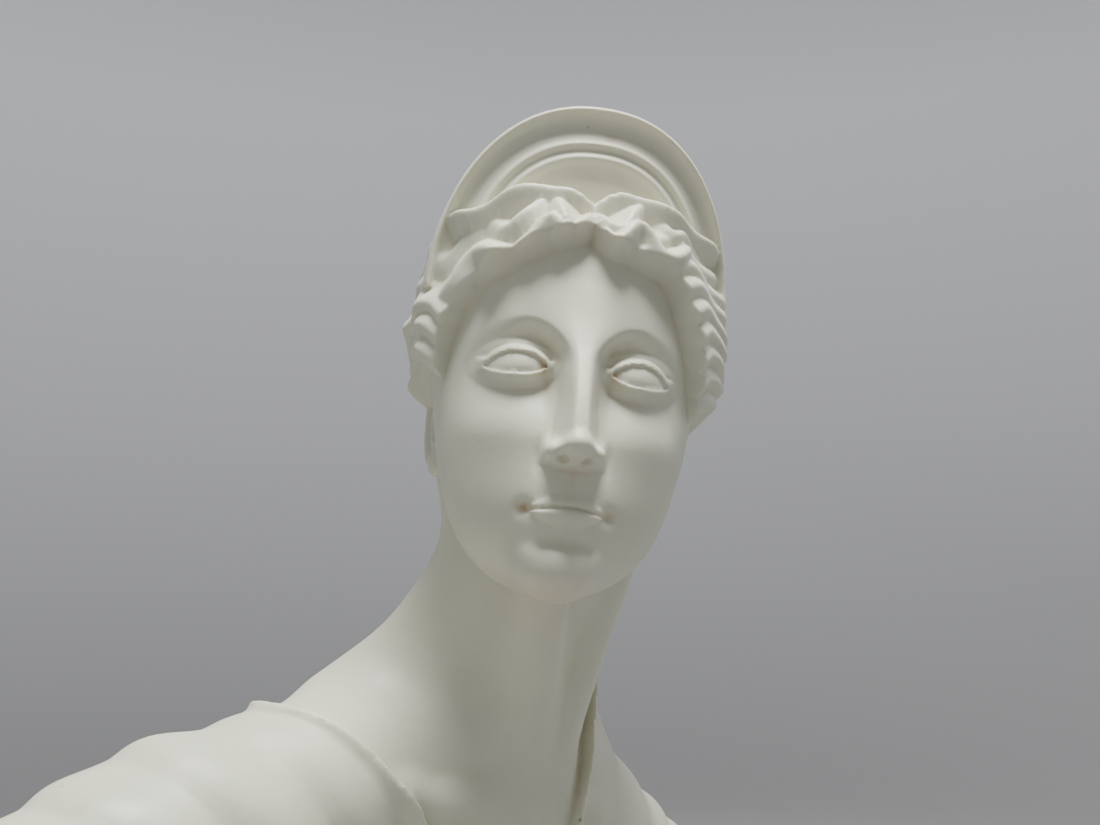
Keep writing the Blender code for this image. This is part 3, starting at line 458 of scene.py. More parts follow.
def ear_field(half):
    """The ear: a plate that leans back, with its two rims, bowl and lobe."""
    offset = half - EAR_MIDDLE
    along = offset[:, 1] + 0.2 * offset[:, 2]
    own = np.column_stack([along, offset[:, 0] + 0.22 * along, offset[:, 2]])
    outer = [(0.045, 0.0), (0.050, 0.075), (0.010, 0.118), (-0.045, 0.095), (-0.066, 0.03), (-0.052, -0.045),
             (-0.02, -0.095)]
    inner = [(0.018, 0.070), (-0.022, 0.045), (-0.030, -0.005), (-0.012, -0.050), (0.018, -0.062)]
    field = ball(own, (0, 0, 0), EAR_RADII)
    field = join(field, rim_of(own, outer, 0.020, 0.013), 0.006)
    field = join(field, rim_of(own, inner, 0.016, 0.011), 0.006)
    field = join(field, ball(own, (0.012, 0.012, -0.108), (0.034, 0.019, 0.034)), 0.014)
    field = carve(field, ball(own, (0.010, 0.030, -0.018), (0.030, 0.024, 0.042)), 0.008)
    return join(field, ball(own, (0.044, 0.016, -0.018), (0.016, 0.013, 0.026)), 0.008)


def on_cap(degrees, height):
    """Point of the hair's cap, by degrees round from the front and by height."""
    waist = math.sqrt(max(0.0, 1 - ((height - CAP_MIDDLE[2]) / CAP_RADII[2]) ** 2))
    angle = math.radians(degrees)
    out = CAP_RADII[0] * waist * math.sin(angle)
    return (out, CAP_MIDDLE[1] + CAP_RADII[1] * waist * math.cos(angle), height)


def wavy_lock(stops, phase, calm, height, width, sharp):
    """A lock through (degrees, height) stops, waved past its calm part.

    Gives its line, the outward ways, and the heights, half widths and sharpness along it.
    """
    rough_line = np.array([on_cap(*stop) for stop in stops])
    count = 6 + int(np.linalg.norm(np.diff(rough_line, axis=0), axis=1).sum() / LOCK_STEP)
    line, length = flowing_line(rough_line, count)
    travelled = np.linspace(0, length, count)
    ahead = np.gradient(line, axis=0)
    ahead /= np.linalg.norm(ahead, axis=1)[:, None]
    outward = (line - CAP_MIDDLE) / CAP_RADII**2
    outward /= np.linalg.norm(outward, axis=1)[:, None]
    upward = np.cross(outward, ahead)
    upward *= np.sign(upward[:, 2:3] + 1e-9)
    wave = 2 * math.pi * travelled / WAVE_LENGTH + phase
    side = WAVE_SIDE * smooth(calm, calm + 0.12, travelled)
    line = line + upward * (side * np.sin(wave))[:, None]
    grown = smooth(-0.03, 0.06, travelled) * (1 - 0.6 * smooth(length - 0.14, length, travelled))
    grown *= 1 - 0.40 * smooth(0.27, 0.45, travelled)
    heights = height * grown * (1 + 0.12 * np.sin(wave + 0.7))
    widths = width * (0.45 + 0.55 * smooth(0.0, 0.08, travelled)) * (1 + 0.20 * smooth(0.30, 0.50, travelled))
    fades = sharp[0] + (sharp[1] - sharp[0]) * smooth(0.25, 0.45, travelled)
    return line, outward, heights, widths, fades


def side_locks(side):
    """Every lock of one side of the head: 0 is the figure's right, 1 its left."""
    locks = []
    for i, stops in enumerate(PARTING_LOCKS[side]):
        locks.append(wavy_lock(stops, 1.9 - 0.4 * i, 0.42, PARTING_HEIGHTS[i], PARTING_WIDTH, PARTING_SHARP))
    for i, (first, height) in enumerate(TEMPLE_LOCKS[side]):
        stops = [(first + step, height + lift) for step, lift in TEMPLE_STEPS]
        locks.append(wavy_lock(stops, 1.2 + 0.9 * i, 0.24, TEMPLE_HEIGHT, TEMPLE_WIDTH, TEMPLE_SHARP))
    for start, end in EAR_STRANDS[side]:
        middle = ((start[0] + end[0]) / 2 + 1.5, (start[1] + end[1]) / 2)
        locks.append(wavy_lock([start, middle, end], 0.0, 0.10, STRAND_HEIGHT, STRAND_WIDTH, STRAND_SHARP))
    return locks


SIDE_LOCKS = [side_locks(0), side_locks(1)]
LOCK_RUN = 6
LOCK_REACH = 0.07


def locks_relief(half, locks):
    """How far the locks stand out of the hair's cap."""
    relief = np.zeros(len(half))
    for line, outward, heights, widths, fades in locks:
        for first in range(0, len(line) - 1, LOCK_RUN):
            last = min(first + LOCK_RUN, len(line) - 1)
            stretch = line[first:last + 1]
            close = (half > stretch.min(0) - LOCK_REACH) & (half < stretch.max(0) + LOCK_REACH)
            near = np.flatnonzero(close.all(axis=1))
            for k in range(first, last):
                along = line[k + 1] - line[k]
                offset = half[near] - line[k]
                share = np.clip(offset @ along / (along @ along), 0, 1)
                offset = offset - share[:, None] * along
                flat = np.clip((offset**2).sum(1) - (offset @ outward[k]) ** 2, 0, None)
                away = np.sqrt(flat + CREST_ROUND**2) - CREST_ROUND
                crest = np.clip(1 - away / (widths[k] + (widths[k + 1] - widths[k]) * share), 0, 1)
                height = heights[k] + (heights[k + 1] - heights[k]) * share
                relief[near] = np.maximum(relief[near], height * crest ** fades[k])
    return relief


def cap_field(half, left_side):
    """The hair: a cap that starts softly at its edge, combed in fine ridges behind and in locks in front."""
    offset = half - CAP_MIDDLE
    degrees = np.degrees(np.arctan2(half[:, 0], offset[:, 1]))
    edge = np.where(left_side, rule(HAIR_EDGES[1], degrees), rule(HAIR_EDGES[0], degrees))
    over_edge = half[:, 2] - edge
    spread = np.arctan2(offset[:, 0], offset[:, 2] + 0.18)
    comb = np.abs(np.sin(13 * spread + 0.9 * np.sin(16 * offset[:, 1]))) - 0.5
    field = ball(half, CAP_MIDDLE, CAP_RADII) - 0.012 * comb * smooth(0.25, 0.05, half[:, 1])
    relief = np.zeros(len(half))
    for locks, side in zip(SIDE_LOCKS, (~left_side, left_side)):
        relief[side] = locks_relief(half[side], locks)
    thinning = np.where(left_side, 0.0, 0.10) * smooth(54, 66, degrees) * smooth(112, 92, degrees)
    soft_start = smooth(-0.012, 0.045 + thinning, over_edge)
    return field - relief * (0.25 + 0.75 * soft_start) + 0.055 * (1 - soft_start)


def knot_field(half):
    """The knot of hair at the back, wound in a spiral."""
    offset = half - KNOT_MIDDLE
    turn = np.arctan2(offset[:, 2], offset[:, 0])
    spiral = np.abs(np.sin(2.5 * turn + 22 * np.hypot(offset[:, 0], offset[:, 2]))) - 0.5
    return ball(half, KNOT_MIDDLE, KNOT_RADII) - 0.008 * spiral


def wall_distance(out, forward):
    """Distance outward from the middle of the diadem's wall, in plan."""
    deep = forward + WALL_SET_BACK
    ring = np.hypot(out / WALL_HALF, deep / WALL_DEPTH) + 1e-9
    slope = np.hypot(out / WALL_HALF**2, deep / WALL_DEPTH**2) + 1e-9
    return (ring - 1) * ring / slope


def diadem_field(half):
    """The crescent that stands over the front hair, with mouldings that follow its rim."""
    out, forward, up = half.T
    raised = np.clip(up - RIM_FOOT, 0, None)
    ring = ((out / RIM_HALF) ** RIM_SQUARE + (raised / RIM_RISE) ** RIM_SQUARE) ** (1 / RIM_SQUARE)
    below = (1 - ring) * (RIM_HALF + (RIM_RISE - RIM_HALF) * smooth(0, 0.4, raised))
    profile = sum(height * groove(below, place, width) for place, height, width in MOULDINGS)
    profile -= 0.006 * smooth(0.13, 0.16, below) + 0.25 * np.clip(below - 0.165, 0, 0.1)
    lean = 0.10 * (0.10 - below)
    wall = wall_distance(out, forward)
    field = np.maximum(wall - lean - profile - 0.010, lean - WALL + 0.008 - wall)
    field = -join(-field, below, 0.014)
    field = np.maximum(field, RIM_FOOT + 0.03 - up)
    return np.maximum(field, -forward - 0.045)


def neck_limbs():
    """The neck's column, its two slanting muscles and the windpipe: ends, radii, fillet."""
    limbs = [(NECK_FOOT, head_to_bust((0, 0.085, -0.16)), 0.215, 0.190, 0.0)]
    for side in (-1, 1):
        behind_ear = head_to_bust((0.225 * side, 0.10, -0.20))
        limbs.append((behind_ear, NOTCH + (0.045 * side, 0.025, 0.03), 0.045, 0.032, 0.06))
    limbs.append((head_to_bust((0, -0.12, -0.40)), NOTCH + (0, 0.06, 0.08), 0.065, 0.05, 0.07))
    return limbs


def collar_limbs():
    """Collar bones and the slopes from the nape to the shoulders: ends, radii, fillet."""
    limbs = []
    for side, root, tip in ((-1, RIGHT_ROOT, RIGHT_SHOULDER), (1, LEFT_ROOT, LEFT_SHOULDER)):
        nape = head_to_bust((0.06 * side, 0.20, -0.36))
        limbs.append((nape, np.add(root, (0.12 * side, 0.06, 0.11)), 0.090, 0.080, 0.12))
        inner = NOTCH + (0.05 * side, 0.015, 0.01)
        middle = 0.55 * NOTCH + 0.45 * np.array(tip) + (0, -0.045, 0.10)
        outer = np.add(tip, (-0.20 * side, -0.03, 0.17))
        bone, length = flowing_line([inner, middle, outer], 7)
        limbs += [(start, end, 0.026, 0.026, 0.05) for start, end in zip(bone[:-1], bone[1:])]
    return limbs


NECK_LIMBS = neck_limbs()
TORSO_LIMBS = SHOULDER_LIMBS + collar_limbs()


def body_field(points):
    """Bare neck, chest, shoulders and arms."""
    torso = np.full(len(points), np.inf)
    for middle, radii, fillet in CHEST_BALLS:
        form = ball(points, middle, radii)
        torso = form if fillet == 0.0 else join(torso, form, fillet)
    for start, end, first, last, fillet in TORSO_LIMBS:
        torso = join(torso, limb(points, start, end, first, last), fillet)
    neck = np.full(len(points), np.inf)
    for start, end, first, last, fillet in NECK_LIMBS:
        form = limb(points, start, end, first, last)
        neck = form if fillet == 0.0 else join(neck, form, fillet)
    return join(torso, neck, 0.14)


def drape_relief(points):
    """Height of the cloth and its folds over the bare body."""
    offset = points - DRAPE_MIDDLE
    degrees = np.degrees(np.arctan2(offset[:, 0], -offset[:, 1]))
    climb = np.degrees(np.arctan2(offset[:, 2], np.hypot(offset[:, 0], offset[:, 1])))
    below = np.radians(rule(NECKLINE, degrees) - climb) * np.linalg.norm(offset, axis=1)
    around = np.radians(degrees)
    tight = 1 - BUNCHING * np.sin(around) ** 2
    edges = [start * tight for start, height in FOLDS]
    for i in range(1, len(edges)):
        edges[i] = edges[i] + 0.022 * np.sin(2.3 * around + 1.9 * i) + 0.010 * np.sin(4.9 * around + 0.8 * i)
    folds = np.zeros(len(points))
    calm = 0.45 + 0.55 * smooth(80, 25, np.abs(degrees + 5))
    for i, (start, height) in enumerate(FOLDS[:-1]):
        share = np.clip((below - edges[i]) / np.maximum(edges[i + 1] - edges[i], 0.04), 0, 1)
        uneven = 0.66 + 0.36 * np.sin(1.7 * around + 2.4 * i) + 0.18 * np.sin(4.1 * around + 1.3 * i)
        fullness = height * uneven
        swell = np.sin(math.pi * share**1.25) ** 1.3
        folds = np.maximum(folds, calm * fullness * swell)
    hem = 0.008 * groove(below, 0.016, 0.012) - 0.008 * smooth(0.02, 0.05, below)
    return CLOTH * smooth(0.0, 0.014, below) + hem + folds


def left_end_field(points):
    """Distance past the slanting cut across the figure's left arm."""
    return (points - LEFT_ARM_CUT) @ LEFT_END_SLANT


def bust_field(points):
    """Field of the whole bust, below zero inside it; points are in shares of the head's height."""
    field = body_field(points)
    clothed = points[:, 2] < 1.32
    field[clothed] -= drape_relief(points[clothed])
    near = np.flatnonzero(np.linalg.norm(points - HEAD_CENTRE, axis=1) < 0.85)
    own = (points[near] - HEAD_CENTRE) @ HEAD_AXES
    half = np.column_stack([np.abs(own[:, 0]), -own[:, 1], own[:, 2]])
    head = join(head_field(half), ear_field(half), 0.012)
    hair = join(cap_field(half, own[:, 0] > 0), knot_field(half), 0.03)
    head = join(join(head, hair, 0.012), diadem_field(half), 0.010)
    field[near] = join(field[near], head, 0.008)
    right_end = -points[:, 0] - RIGHT_ARM_REACH
    for end in (right_end, left_end_field(points)):
        field = -join(-field, -end, END_FILLET)
    return np.maximum(field, -points[:, 2] - SPARE_DEPTH)


def field_at(points):
    """The bust's field, worked out in parts that share the processor's cores."""
    parts = np.array_split(points, len(points) // 30000 + 1)
    with ThreadPoolExecutor(4) as workers:
        return np.concatenate(list(workers.map(bust_field, parts)))


def field_grid(low, counts, voxel):
    """The field on a fine grid: worked out on every fourth plane, and between them only near the surface."""
    step = voxel * COARSE
    rough_counts = [(count - 1) // COARSE + 1 for count in counts]
    places = np.stack(np.meshgrid(*[np.arange(count) for count in rough_counts], indexing="ij"), axis=-1)
    rough = field_at(low + places.reshape(-1, 3) * step).reshape(rough_counts)
    near = np.argwhere(np.abs(rough) < step * NEAR_STEPS)
    grid = np.where(rough < 0, -1.0, 1.0).astype(np.float32)
    for axis in range(3):
        grid = np.repeat(grid, COARSE, axis=axis)
    half = COARSE // 2
    grid = grid[half:, half:, half:][:counts[0], :counts[1], :counts[2]]
    around = np.arange(-half, half + 1)
    block = np.stack(np.meshgrid(around, around, around, indexing="ij"), axis=-1).reshape(-1, 3)
    fine = (near[:, None, :] * COARSE + block[None]).reshape(-1, 3)
    fine = fine[((fine >= 0) & (fine < counts)).all(axis=1)]
    flat = np.unique(np.ravel_multi_index(fine.T, counts))
    fine = np.column_stack(np.unravel_index(flat, counts))
    grid = np.ascontiguousarray(grid)
    grid.ravel()[flat] = field_at(low + fine * voxel)
    return grid


def skin(voxel):
    """The field's surface as a closed net of quads, one vertex in each cell that it crosses."""
    low, high = np.array(REACH_LOW), np.array(REACH_HIGH)
    counts = tuple(int(n) * COARSE + 1 for n in np.ceil((high - low) / (voxel * COARSE)))
    grid = field_grid(low, counts, voxel)
    inside = grid < 0
    corners = [(i, j, k) for i in (0, 1) for j in (0, 1) for k in (0, 1)]
    filled = sum(inside[i:counts[0] - 1 + i, j:counts[1] - 1 + j, k:counts[2] - 1 + k].astype(np.int8)
                 for i, j, k in corners)
    cells = np.argwhere((filled > 0) & (filled < 8))
    number = np.full([count - 1 for count in counts], -1, np.int32)
    number[tuple(cells.T)] = np.arange(len(cells))
    total, crossings = np.zeros((len(cells), 3)), np.zeros(len(cells))
    for axis in range(3):
        for corner in corners:
            if corner[axis]:
                continue
            start = cells + corner
            end = start.copy()
            end[:, axis] += 1
            first, last = grid[tuple(start.T)], grid[tuple(end.T)]
            crosses = (first < 0) != (last < 0)
            share = np.where(crosses, first / np.where(crosses, first - last, 1.0), 0.0)
            place = start.astype(float)
            place[:, axis] += share
            total += place * crosses[:, None]
            crossings += crosses
    vertices = low + total / crossings[:, None] * voxel
    quads = []
    for axis in range(3):
        here = np.take(inside, np.arange(counts[axis] - 1), axis=axis)
        there = np.take(inside, np.arange(1, counts[axis]), axis=axis)
        edges = np.argwhere(here != there)
        one, two = (axis + 1) % 3, (axis + 2) % 3
        ring = []
        for back_one, back_two in ((0, 0), (1, 0), (1, 1), (0, 1)):
            cell = edges.copy()
            cell[:, one] -= back_one
            cell[:, two] -= back_two
            ring.append(number[tuple(cell.T)])
        ring = np.column_stack(ring)
        leaving = here[tuple(edges.T)]
        quads.append(np.where(leaving[:, None], ring, ring[:, ::-1]))
    return vertices, np.concatenate(quads)


def mesh_of(name, vertices, quads):
    """A mesh, in metres, from vertices in shares of the head's height and their quads."""
    data = bpy.data.meshes.new(name)
    data.vertices.add(len(vertices))
    data.vertices.foreach_set("co", (vertices * HEAD_HEIGHT).astype(np.float32).ravel())
    data.loops.add(quads.size)
    data.loops.foreach_set("vertex_index", quads.astype(np.int32).ravel())
    data.polygons.add(len(quads))
    data.polygons.foreach_set("loop_start", np.arange(0, quads.size, 4, dtype=np.int32))
    data.update(calc_edges=True)
    return data


def relaxed(points, edges, share):
    """Each point moved a share of the way to the middle of its neighbours."""
    count = len(points)
    ends = np.concatenate([edges, edges[:, ::-1]])
    neighbours = np.bincount(ends[:, 0], minlength=count)
    middle = np.column_stack([np.bincount(ends[:, 0], points[ends[:, 1], k], count) for k in range(3)])
    return points + share * (middle / neighbours[:, None] - points)


def edges_of(data):
    """The two vertices of each edge."""
    edges = np.empty(len(data.edges) * 2, np.int32)
    data.edges.foreach_get("vertices", edges)
    return edges.reshape(-1, 2)


def vertex_places(data):
    """Places and normals of the mesh's vertices."""
    places = np.empty(len(data.vertices) * 3, np.float32)
    normals = np.empty(len(data.vertices) * 3, np.float32)
    data.vertices.foreach_get("co", places)
    data.vertex_normals.foreach_get("vector", normals)
    return places.reshape(-1, 3).astype(float), normals.reshape(-1, 3).astype(float)


def settle(data, passes, limit, slack):
    """Bring every vertex onto the carved form along its normal, by at most the limit at each pass."""
    edges = edges_of(data)
    probe = 0.0015
    for turn in range(passes):
        places, normals = vertex_places(data)
        points = places / HEAD_HEIGHT
        field = field_at(points)
        steepness = np.clip(np.abs(field_at(points + probe * normals) - field) / probe, 1.0, 8.0)
        points -= normals * np.clip(field / steepness, -limit, limit)[:, None]
        points = relaxed(points, edges, slack)
        data.vertices.foreach_set("co", (points * HEAD_HEIGHT).astype(np.float32).ravel())
        data.update()


def fine_bust():
    """The bust's mesh: its skin, divided once on the head, settled, thinned and cut flat at z = 0."""
    data = mesh_of("carving", *skin(VOXEL))
    mesh = bmesh.new()
    mesh.from_mesh(data)
    upper = [edge for edge in mesh.edges
             if min(vert.co.z for vert in edge.verts) > DIVIDED_ABOVE * HEAD_HEIGHT]
    bmesh.ops.subdivide_edges(mesh, edges=upper, cuts=1, use_grid_fill=True)
    mesh.to_mesh(data)
    mesh.free()
    settle(data, 2, 0.5 * VOXEL, 0.12)
    holder = bpy.data.objects.new("thinning", data)
    bpy.context.scene.collection.objects.link(holder)
    data.calc_loop_triangles()
    thin = holder.modifiers.new("thin", "DECIMATE")
    thin.ratio = TRIANGLES / len(data.loop_triangles)
    thinned = bpy.data.meshes.new_from_object(holder.evaluated_get(bpy.context.evaluated_depsgraph_get()))
    bpy.data.objects.remove(holder)
    mesh = bmesh.new()
    mesh.from_mesh(thinned)
    everything = mesh.verts[:] + mesh.edges[:] + mesh.faces[:]
    cut = bmesh.ops.bisect_plane(mesh, geom=everything, dist=1e-6, plane_co=(0, 0, 0), plane_no=(0, 0, 1),
                                 clear_inner=True)
    rim = [item for item in cut["geom_cut"] if isinstance(item, bmesh.types.BMEdge)]
    bmesh.ops.holes_fill(mesh, edges=rim)
    bmesh.ops.triangulate(mesh, faces=[face for face in mesh.faces if len(face.verts) > 3])
    bmesh.ops.recalc_face_normals(mesh, faces=mesh.faces[:])
    final = bpy.data.meshes.new("marble bust")
    mesh.to_mesh(final)
    mesh.free()
    final.shade_smooth()
    final.set_sharp_from_angle(angle=math.radians(50))
    return final


def mark(data, name, values):
    """Keep a value from 0 to 1 at each vertex, for the material to read."""
    layer = data.attributes.new(name, "FLOAT", "POINT")
    layer.data.foreach_set("value", np.clip(values, 0, 1).astype(np.float32))


def mark_hollows(data):
    """How deep each place lies in a hollow of the carving, and how much it stands out: the material paints shade
    into the hollows and a highlight onto the crests.
    """
    places, normals = vertex_places(data)
    edges = edges_of(data)
    eased = places
    for turn in range(HOLLOW_PASSES):
        eased = relaxed(eased, edges, 0.6)
    depth = ((eased - places) * normals).sum(axis=1)
    mark(data, "hollow", depth / HOLLOW_DEPTH)
    mark(data, "crest", -depth / HOLLOW_DEPTH)


def mark_stains_and_chin_shade(data):
    """Where damp has left a yellow tint: the corners of the eyes and mouth; and the warm painted shade on the
    chin's down-facing underside.
    """
    places, normals = vertex_places(data)
    own = (places / HEAD_HEIGHT - HEAD_CENTRE) @ HEAD_AXES
    out, forward, up = own[:, 0], -own[:, 1], own[:, 2]
    stain = np.zeros(len(places))
    for side, x, z, width, height, strength in STAINS:
        stain += strength * np.exp(-(((out * side - x) / width) ** 2) - ((up - z) / height) ** 2) * (forward > 0.2)
    mark(data, "stain", stain)
    # painted shade: the chin's underside, where its surface faces down
    under_chin = smooth(-0.40, -0.52, up) * smooth(0.34, 0.20, np.abs(out)) * smooth(0.05, 0.25, forward)
    mark(data, "chin", under_chin * smooth(0.0, 0.6, -(normals @ HEAD_AXES)[:, 2]))


class Nodes:
    """Short way to add and join a material's nodes."""

    def __init__(self, tree):
        self.tree = tree

    def add(self, kind, settings=None, **inputs):
        node = self.tree.nodes.new(kind)
        for name, value in (settings or {}).items():
            setattr(node, name, value)
        for name, value in inputs.items():
            self.plug(value, node.inputs[name.replace("_", " ")])
        return node

    def plug(self, value, socket):
        if isinstance(value, bpy.types.NodeSocket):
            self.tree.links.new(value, socket)
        else:
            socket.default_value = value

    def noise(self, where, scale, detail=4.0, rough=0.5):
        node = self.add("ShaderNodeTexNoise", Vector=where, Scale=scale, Detail=detail, Roughness=rough)
        return node.outputs[0]

    def spread(self, value, low, high, to_low=0.0, to_high=1.0):
        node = self.add("ShaderNodeMapRange", {"interpolation_type": "SMOOTHSTEP"}, Value=value)
        for name, number in (("From Min", low), ("From Max", high), ("To Min", to_low), ("To Max", to_high)):
            node.inputs[name].default_value = number
        return node.outputs[0]

    def times(self, first, second, operation="MULTIPLY"):
        node = self.add("ShaderNodeMath", {"operation": operation})
        self.plug(first, node.inputs[0])
        self.plug(second, node.inputs[1])
        return node.outputs[0]

    def tint(self, share, under, over, blend="MIX"):
        node = self.add("ShaderNodeMix", {"data_type": "RGBA", "blend_type": blend})
        self.plug(share, node.inputs[0])
        self.plug(under, node.inputs[6])
        self.plug(over, node.inputs[7])
        return node.outputs[2]

    def marked(self, name):
        return self.add("ShaderNodeAttribute", {"attribute_name": name}).outputs["Fac"]


def cast_marble():
    """Cast marble: ivory white, a little translucent, with fine pits; painted warm shade in the hollows, painted
    shade under the chin and in the pits, and a painted highlight on the crests.
    """
    material = bpy.data.materials.new("cast marble")
    material.use_nodes = True
    nodes = Nodes(material.node_tree)
    shader = material.node_tree.nodes["Principled BSDF"]
    where = nodes.add("ShaderNodeTexCoord").outputs["Object"]
    hollow, crest = nodes.marked("hollow"), nodes.marked("crest")
    cloud = nodes.spread(nodes.noise(where, 14.0, 5.0, 0.55), 0.35, 0.68)
    mottle = nodes.spread(nodes.noise(where, 85.0, 3.0, 0.6), 0.35, 0.70)
    grain = nodes.noise(where, 620.0, 2.0, 0.6)
    colour = nodes.tint(cloud, IVORY, COOL_IVORY)
    colour = nodes.tint(nodes.times(mottle, 0.25), colour, PALE_MOTTLE_AND_HIGHLIGHT)
    # painted shade: the hollows tinted warmer and darker
    colour = nodes.tint(nodes.times(nodes.spread(hollow, 0.06, 0.85), 0.62), colour, WARM_HOLLOW_SHADE)
    # painted highlight: the crests of the carving made paler
    colour = nodes.tint(nodes.times(nodes.spread(crest, 0.10, 0.90), 0.30), colour, PALE_MOTTLE_AND_HIGHLIGHT)
    # painted shade under the chin
    colour = nodes.tint(nodes.times(nodes.marked("chin"), 0.55), colour, PEACH_CHIN_SHADE)
    patchy = nodes.spread(nodes.noise(where, 260.0, 4.0, 0.65), 0.30, 0.62, 0.35, 1.0)
    colour = nodes.tint(nodes.times(nodes.marked("stain"), patchy), colour, STAIN)
    spots = nodes.add("ShaderNodeTexVoronoi", Vector=where, Scale=115.0)
    chosen = nodes.spread(nodes.noise(where, 33.0, 1.0), 0.60, 0.64)
    pit = nodes.times(nodes.spread(spots.outputs["Distance"], 0.085, 0.045), chosen)
    # painted shade: the pits darkened
    colour = nodes.tint(nodes.times(pit, 0.50), colour, PIT_SHADE)
    nodes.plug(colour, shader.inputs["Base Color"])
    shader.inputs["Metallic"].default_value = 0.0
    shader.inputs["IOR"].default_value = 1.5
    shader.inputs["Subsurface Weight"].default_value = 0.35
    shader.inputs["Subsurface Radius"].default_value = (1.0, 0.78, 0.50)
    shader.inputs["Subsurface Scale"].default_value = 0.0028
    rough = nodes.spread(nodes.noise(where, 60.0, 4.0, 0.6), 0.25, 0.75, 0.40, 0.56)
    nodes.plug(nodes.times(rough, nodes.times(hollow, 0.15), "ADD"), shader.inputs["Roughness"])
    height = nodes.times(nodes.noise(where, 120.0, 4.0, 0.55), nodes.times(grain, 0.35), "ADD")
    height = nodes.times(height, nodes.times(pit, 1.4), "SUBTRACT")
    bump = nodes.add("ShaderNodeBump", Height=height, Strength=0.22, Distance=0.0006)
    nodes.plug(bump.outputs[0], shader.inputs["Normal"])
    return material


def floor_paper():
    """Paper for the floor and backdrop, with painted light: dark low down, paler higher up."""
    material = bpy.data.materials.new("floor paper")
    material.use_nodes = True
    tree = material.node_tree
    place = tree.nodes.new("ShaderNodeTexCoord")
    parts = tree.nodes.new("ShaderNodeSeparateXYZ")
    share = tree.nodes.new("ShaderNodeMapRange")
    share.inputs["From Max"].default_value = PAINTED_LIGHT_FROM
    blend = tree.nodes.new("ShaderNodeMix")
    blend.data_type = "RGBA"
    blend.inputs["A"].default_value = PAINTED_SHADE_FLOOR_COLOUR
    blend.inputs["B"].default_value = PAINTED_LIGHT_BACKDROP_COLOUR
    shader = tree.nodes["Principled BSDF"]
    shader.inputs["Roughness"].default_value = 0.85
    tree.links.new(place.outputs["Object"], parts.inputs["Vector"])
    tree.links.new(parts.outputs["Z"], share.inputs["Value"])
    tree.links.new(share.outputs["Result"], blend.inputs["Factor"])
    tree.links.new(blend.outputs["Result"], shader.inputs["Base Color"])
    return material


def add_floor():
    """A wide floor, level with the underside, that curves up into a backdrop all round, painted darker low down
    and paler higher up as light and shade.
    """
    rings = [(FLOOR_RADIUS * step / FLOOR_RINGS, 0.0) for step in range(1, FLOOR_RINGS + 1)]
    for step in range(1, SWEEP_STEPS + 1):
        turn = math.pi / 2 * step / SWEEP_STEPS
        rings.append((FLOOR_RADIUS + SWEEP_RADIUS * math.sin(turn), SWEEP_RADIUS * (1 - math.cos(turn))))
    rings.append((FLOOR_RADIUS + SWEEP_RADIUS, BACKDROP_HEIGHT))
    turns = [2 * math.pi * step / FLOOR_SIDES for step in range(FLOOR_SIDES)]
    places = []
    for radius, height in rings:
        places += [(radius * math.cos(turn), radius * math.sin(turn), height) for turn in turns]
    faces = [list(range(FLOOR_SIDES))]
    for ring in range(len(rings) - 1):
        near, far = FLOOR_SIDES * ring, FLOOR_SIDES * (ring + 1)
        for step in range(FLOOR_SIDES):
            after = (step + 1) % FLOOR_SIDES
            faces.append((near + step, far + step, far + after, near + after))
    data = bpy.data.meshes.new("floor")
    data.from_pydata(places, [], faces)
    data.shade_smooth()
    floor = bpy.data.objects.new("floor", data)
    floor.location.z = LOW[2]
    data.materials.append(floor_paper())
    bpy.context.scene.collection.objects.link(floor)


def toward(item, target):
    """Turn a light or the camera to face a point."""
    item.rotation_euler = (Vector(target) - item.location).to_track_quat("-Z", "Y").to_euler()


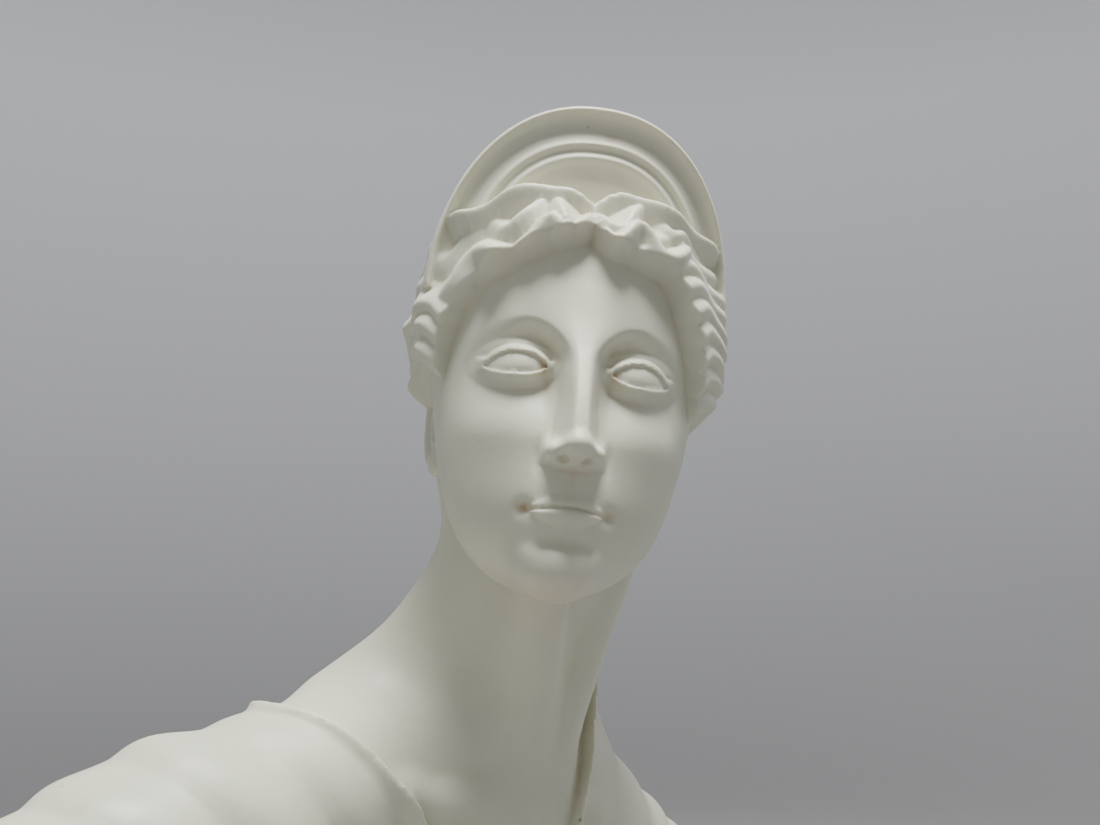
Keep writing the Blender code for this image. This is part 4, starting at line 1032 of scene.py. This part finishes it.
def add_light(name, place, target, size, power, colour):
    """A round soft light at a place, facing its target."""
    light = bpy.data.lights.new(name, "AREA")
    light.shape = "DISK"
    light.size = size
    light.energy = power
    light.color = colour
    item = bpy.data.objects.new(name, light)
    item.location = place
    toward(item, target)
    bpy.context.scene.collection.objects.link(item)


def add_lights(centre, back, right):
    """Soft studio light: from above the head, with a weaker one from the left and a faint one behind."""
    up = Vector((0, 0, 1))
    add_light("key", centre + up * 1.00 + right * 0.06 + back * 0.24, centre, 0.46, 27.0, (1.0, 0.99, 0.95))
    add_light("fill", centre - right * 1.1 + back * 0.9 + up * 0.05, centre, 0.9, 1.6, (0.94, 0.98, 1.0))
    add_light("rim", centre + right * 0.9 - back * 0.7 + up * 0.4, centre, 0.8, 2.5, (1.0, 1.0, 0.98))
    world = bpy.data.worlds.new("studio")
    world.use_nodes = True
    shade = world.node_tree.nodes["Background"]
    shade.inputs["Color"].default_value = WORLD_COLOUR
    shade.inputs["Strength"].default_value = WORLD_STRENGTH
    bpy.context.scene.world = world


def add_camera(centre, back):
    """Camera a little below the face, where the photographer stood."""
    camera = bpy.data.objects.new("camera", bpy.data.cameras.new("camera"))
    camera.data.sensor_width = 36.0
    camera.data.lens = 36.0 * FOCAL_PIXELS / PHOTO_WIDTH
    camera.data.shift_x = CAMERA_SHIFT[0] / PHOTO_WIDTH
    camera.data.shift_y = CAMERA_SHIFT[1] / PHOTO_WIDTH
    camera.data.clip_start = 0.01
    camera.location = centre + back * CAMERA_DISTANCE * HEAD_HEIGHT
    toward(camera, centre)
    bpy.context.scene.collection.objects.link(camera)
    bpy.context.scene.camera = camera


def main():
    data = fine_bust()
    mark_hollows(data)
    mark_stains_and_chin_shade(data)
    data.materials.append(cast_marble())
    bust = bpy.data.objects.new("marble_bust", data)
    bpy.context.scene.collection.objects.link(bust)
    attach(bust, "root")
    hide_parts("bust")
    add_floor()
    centre = Vector(AIM) * HEAD_HEIGHT
    azimuth, elevation = (math.radians(angle) for angle in CAMERA_ANGLES)
    back = Vector((math.sin(azimuth) * math.cos(elevation), -math.cos(azimuth) * math.cos(elevation),
                   math.sin(elevation)))
    add_lights(centre, back, Vector((math.cos(azimuth), math.sin(azimuth), 0)))
    add_camera(centre, back)


main()
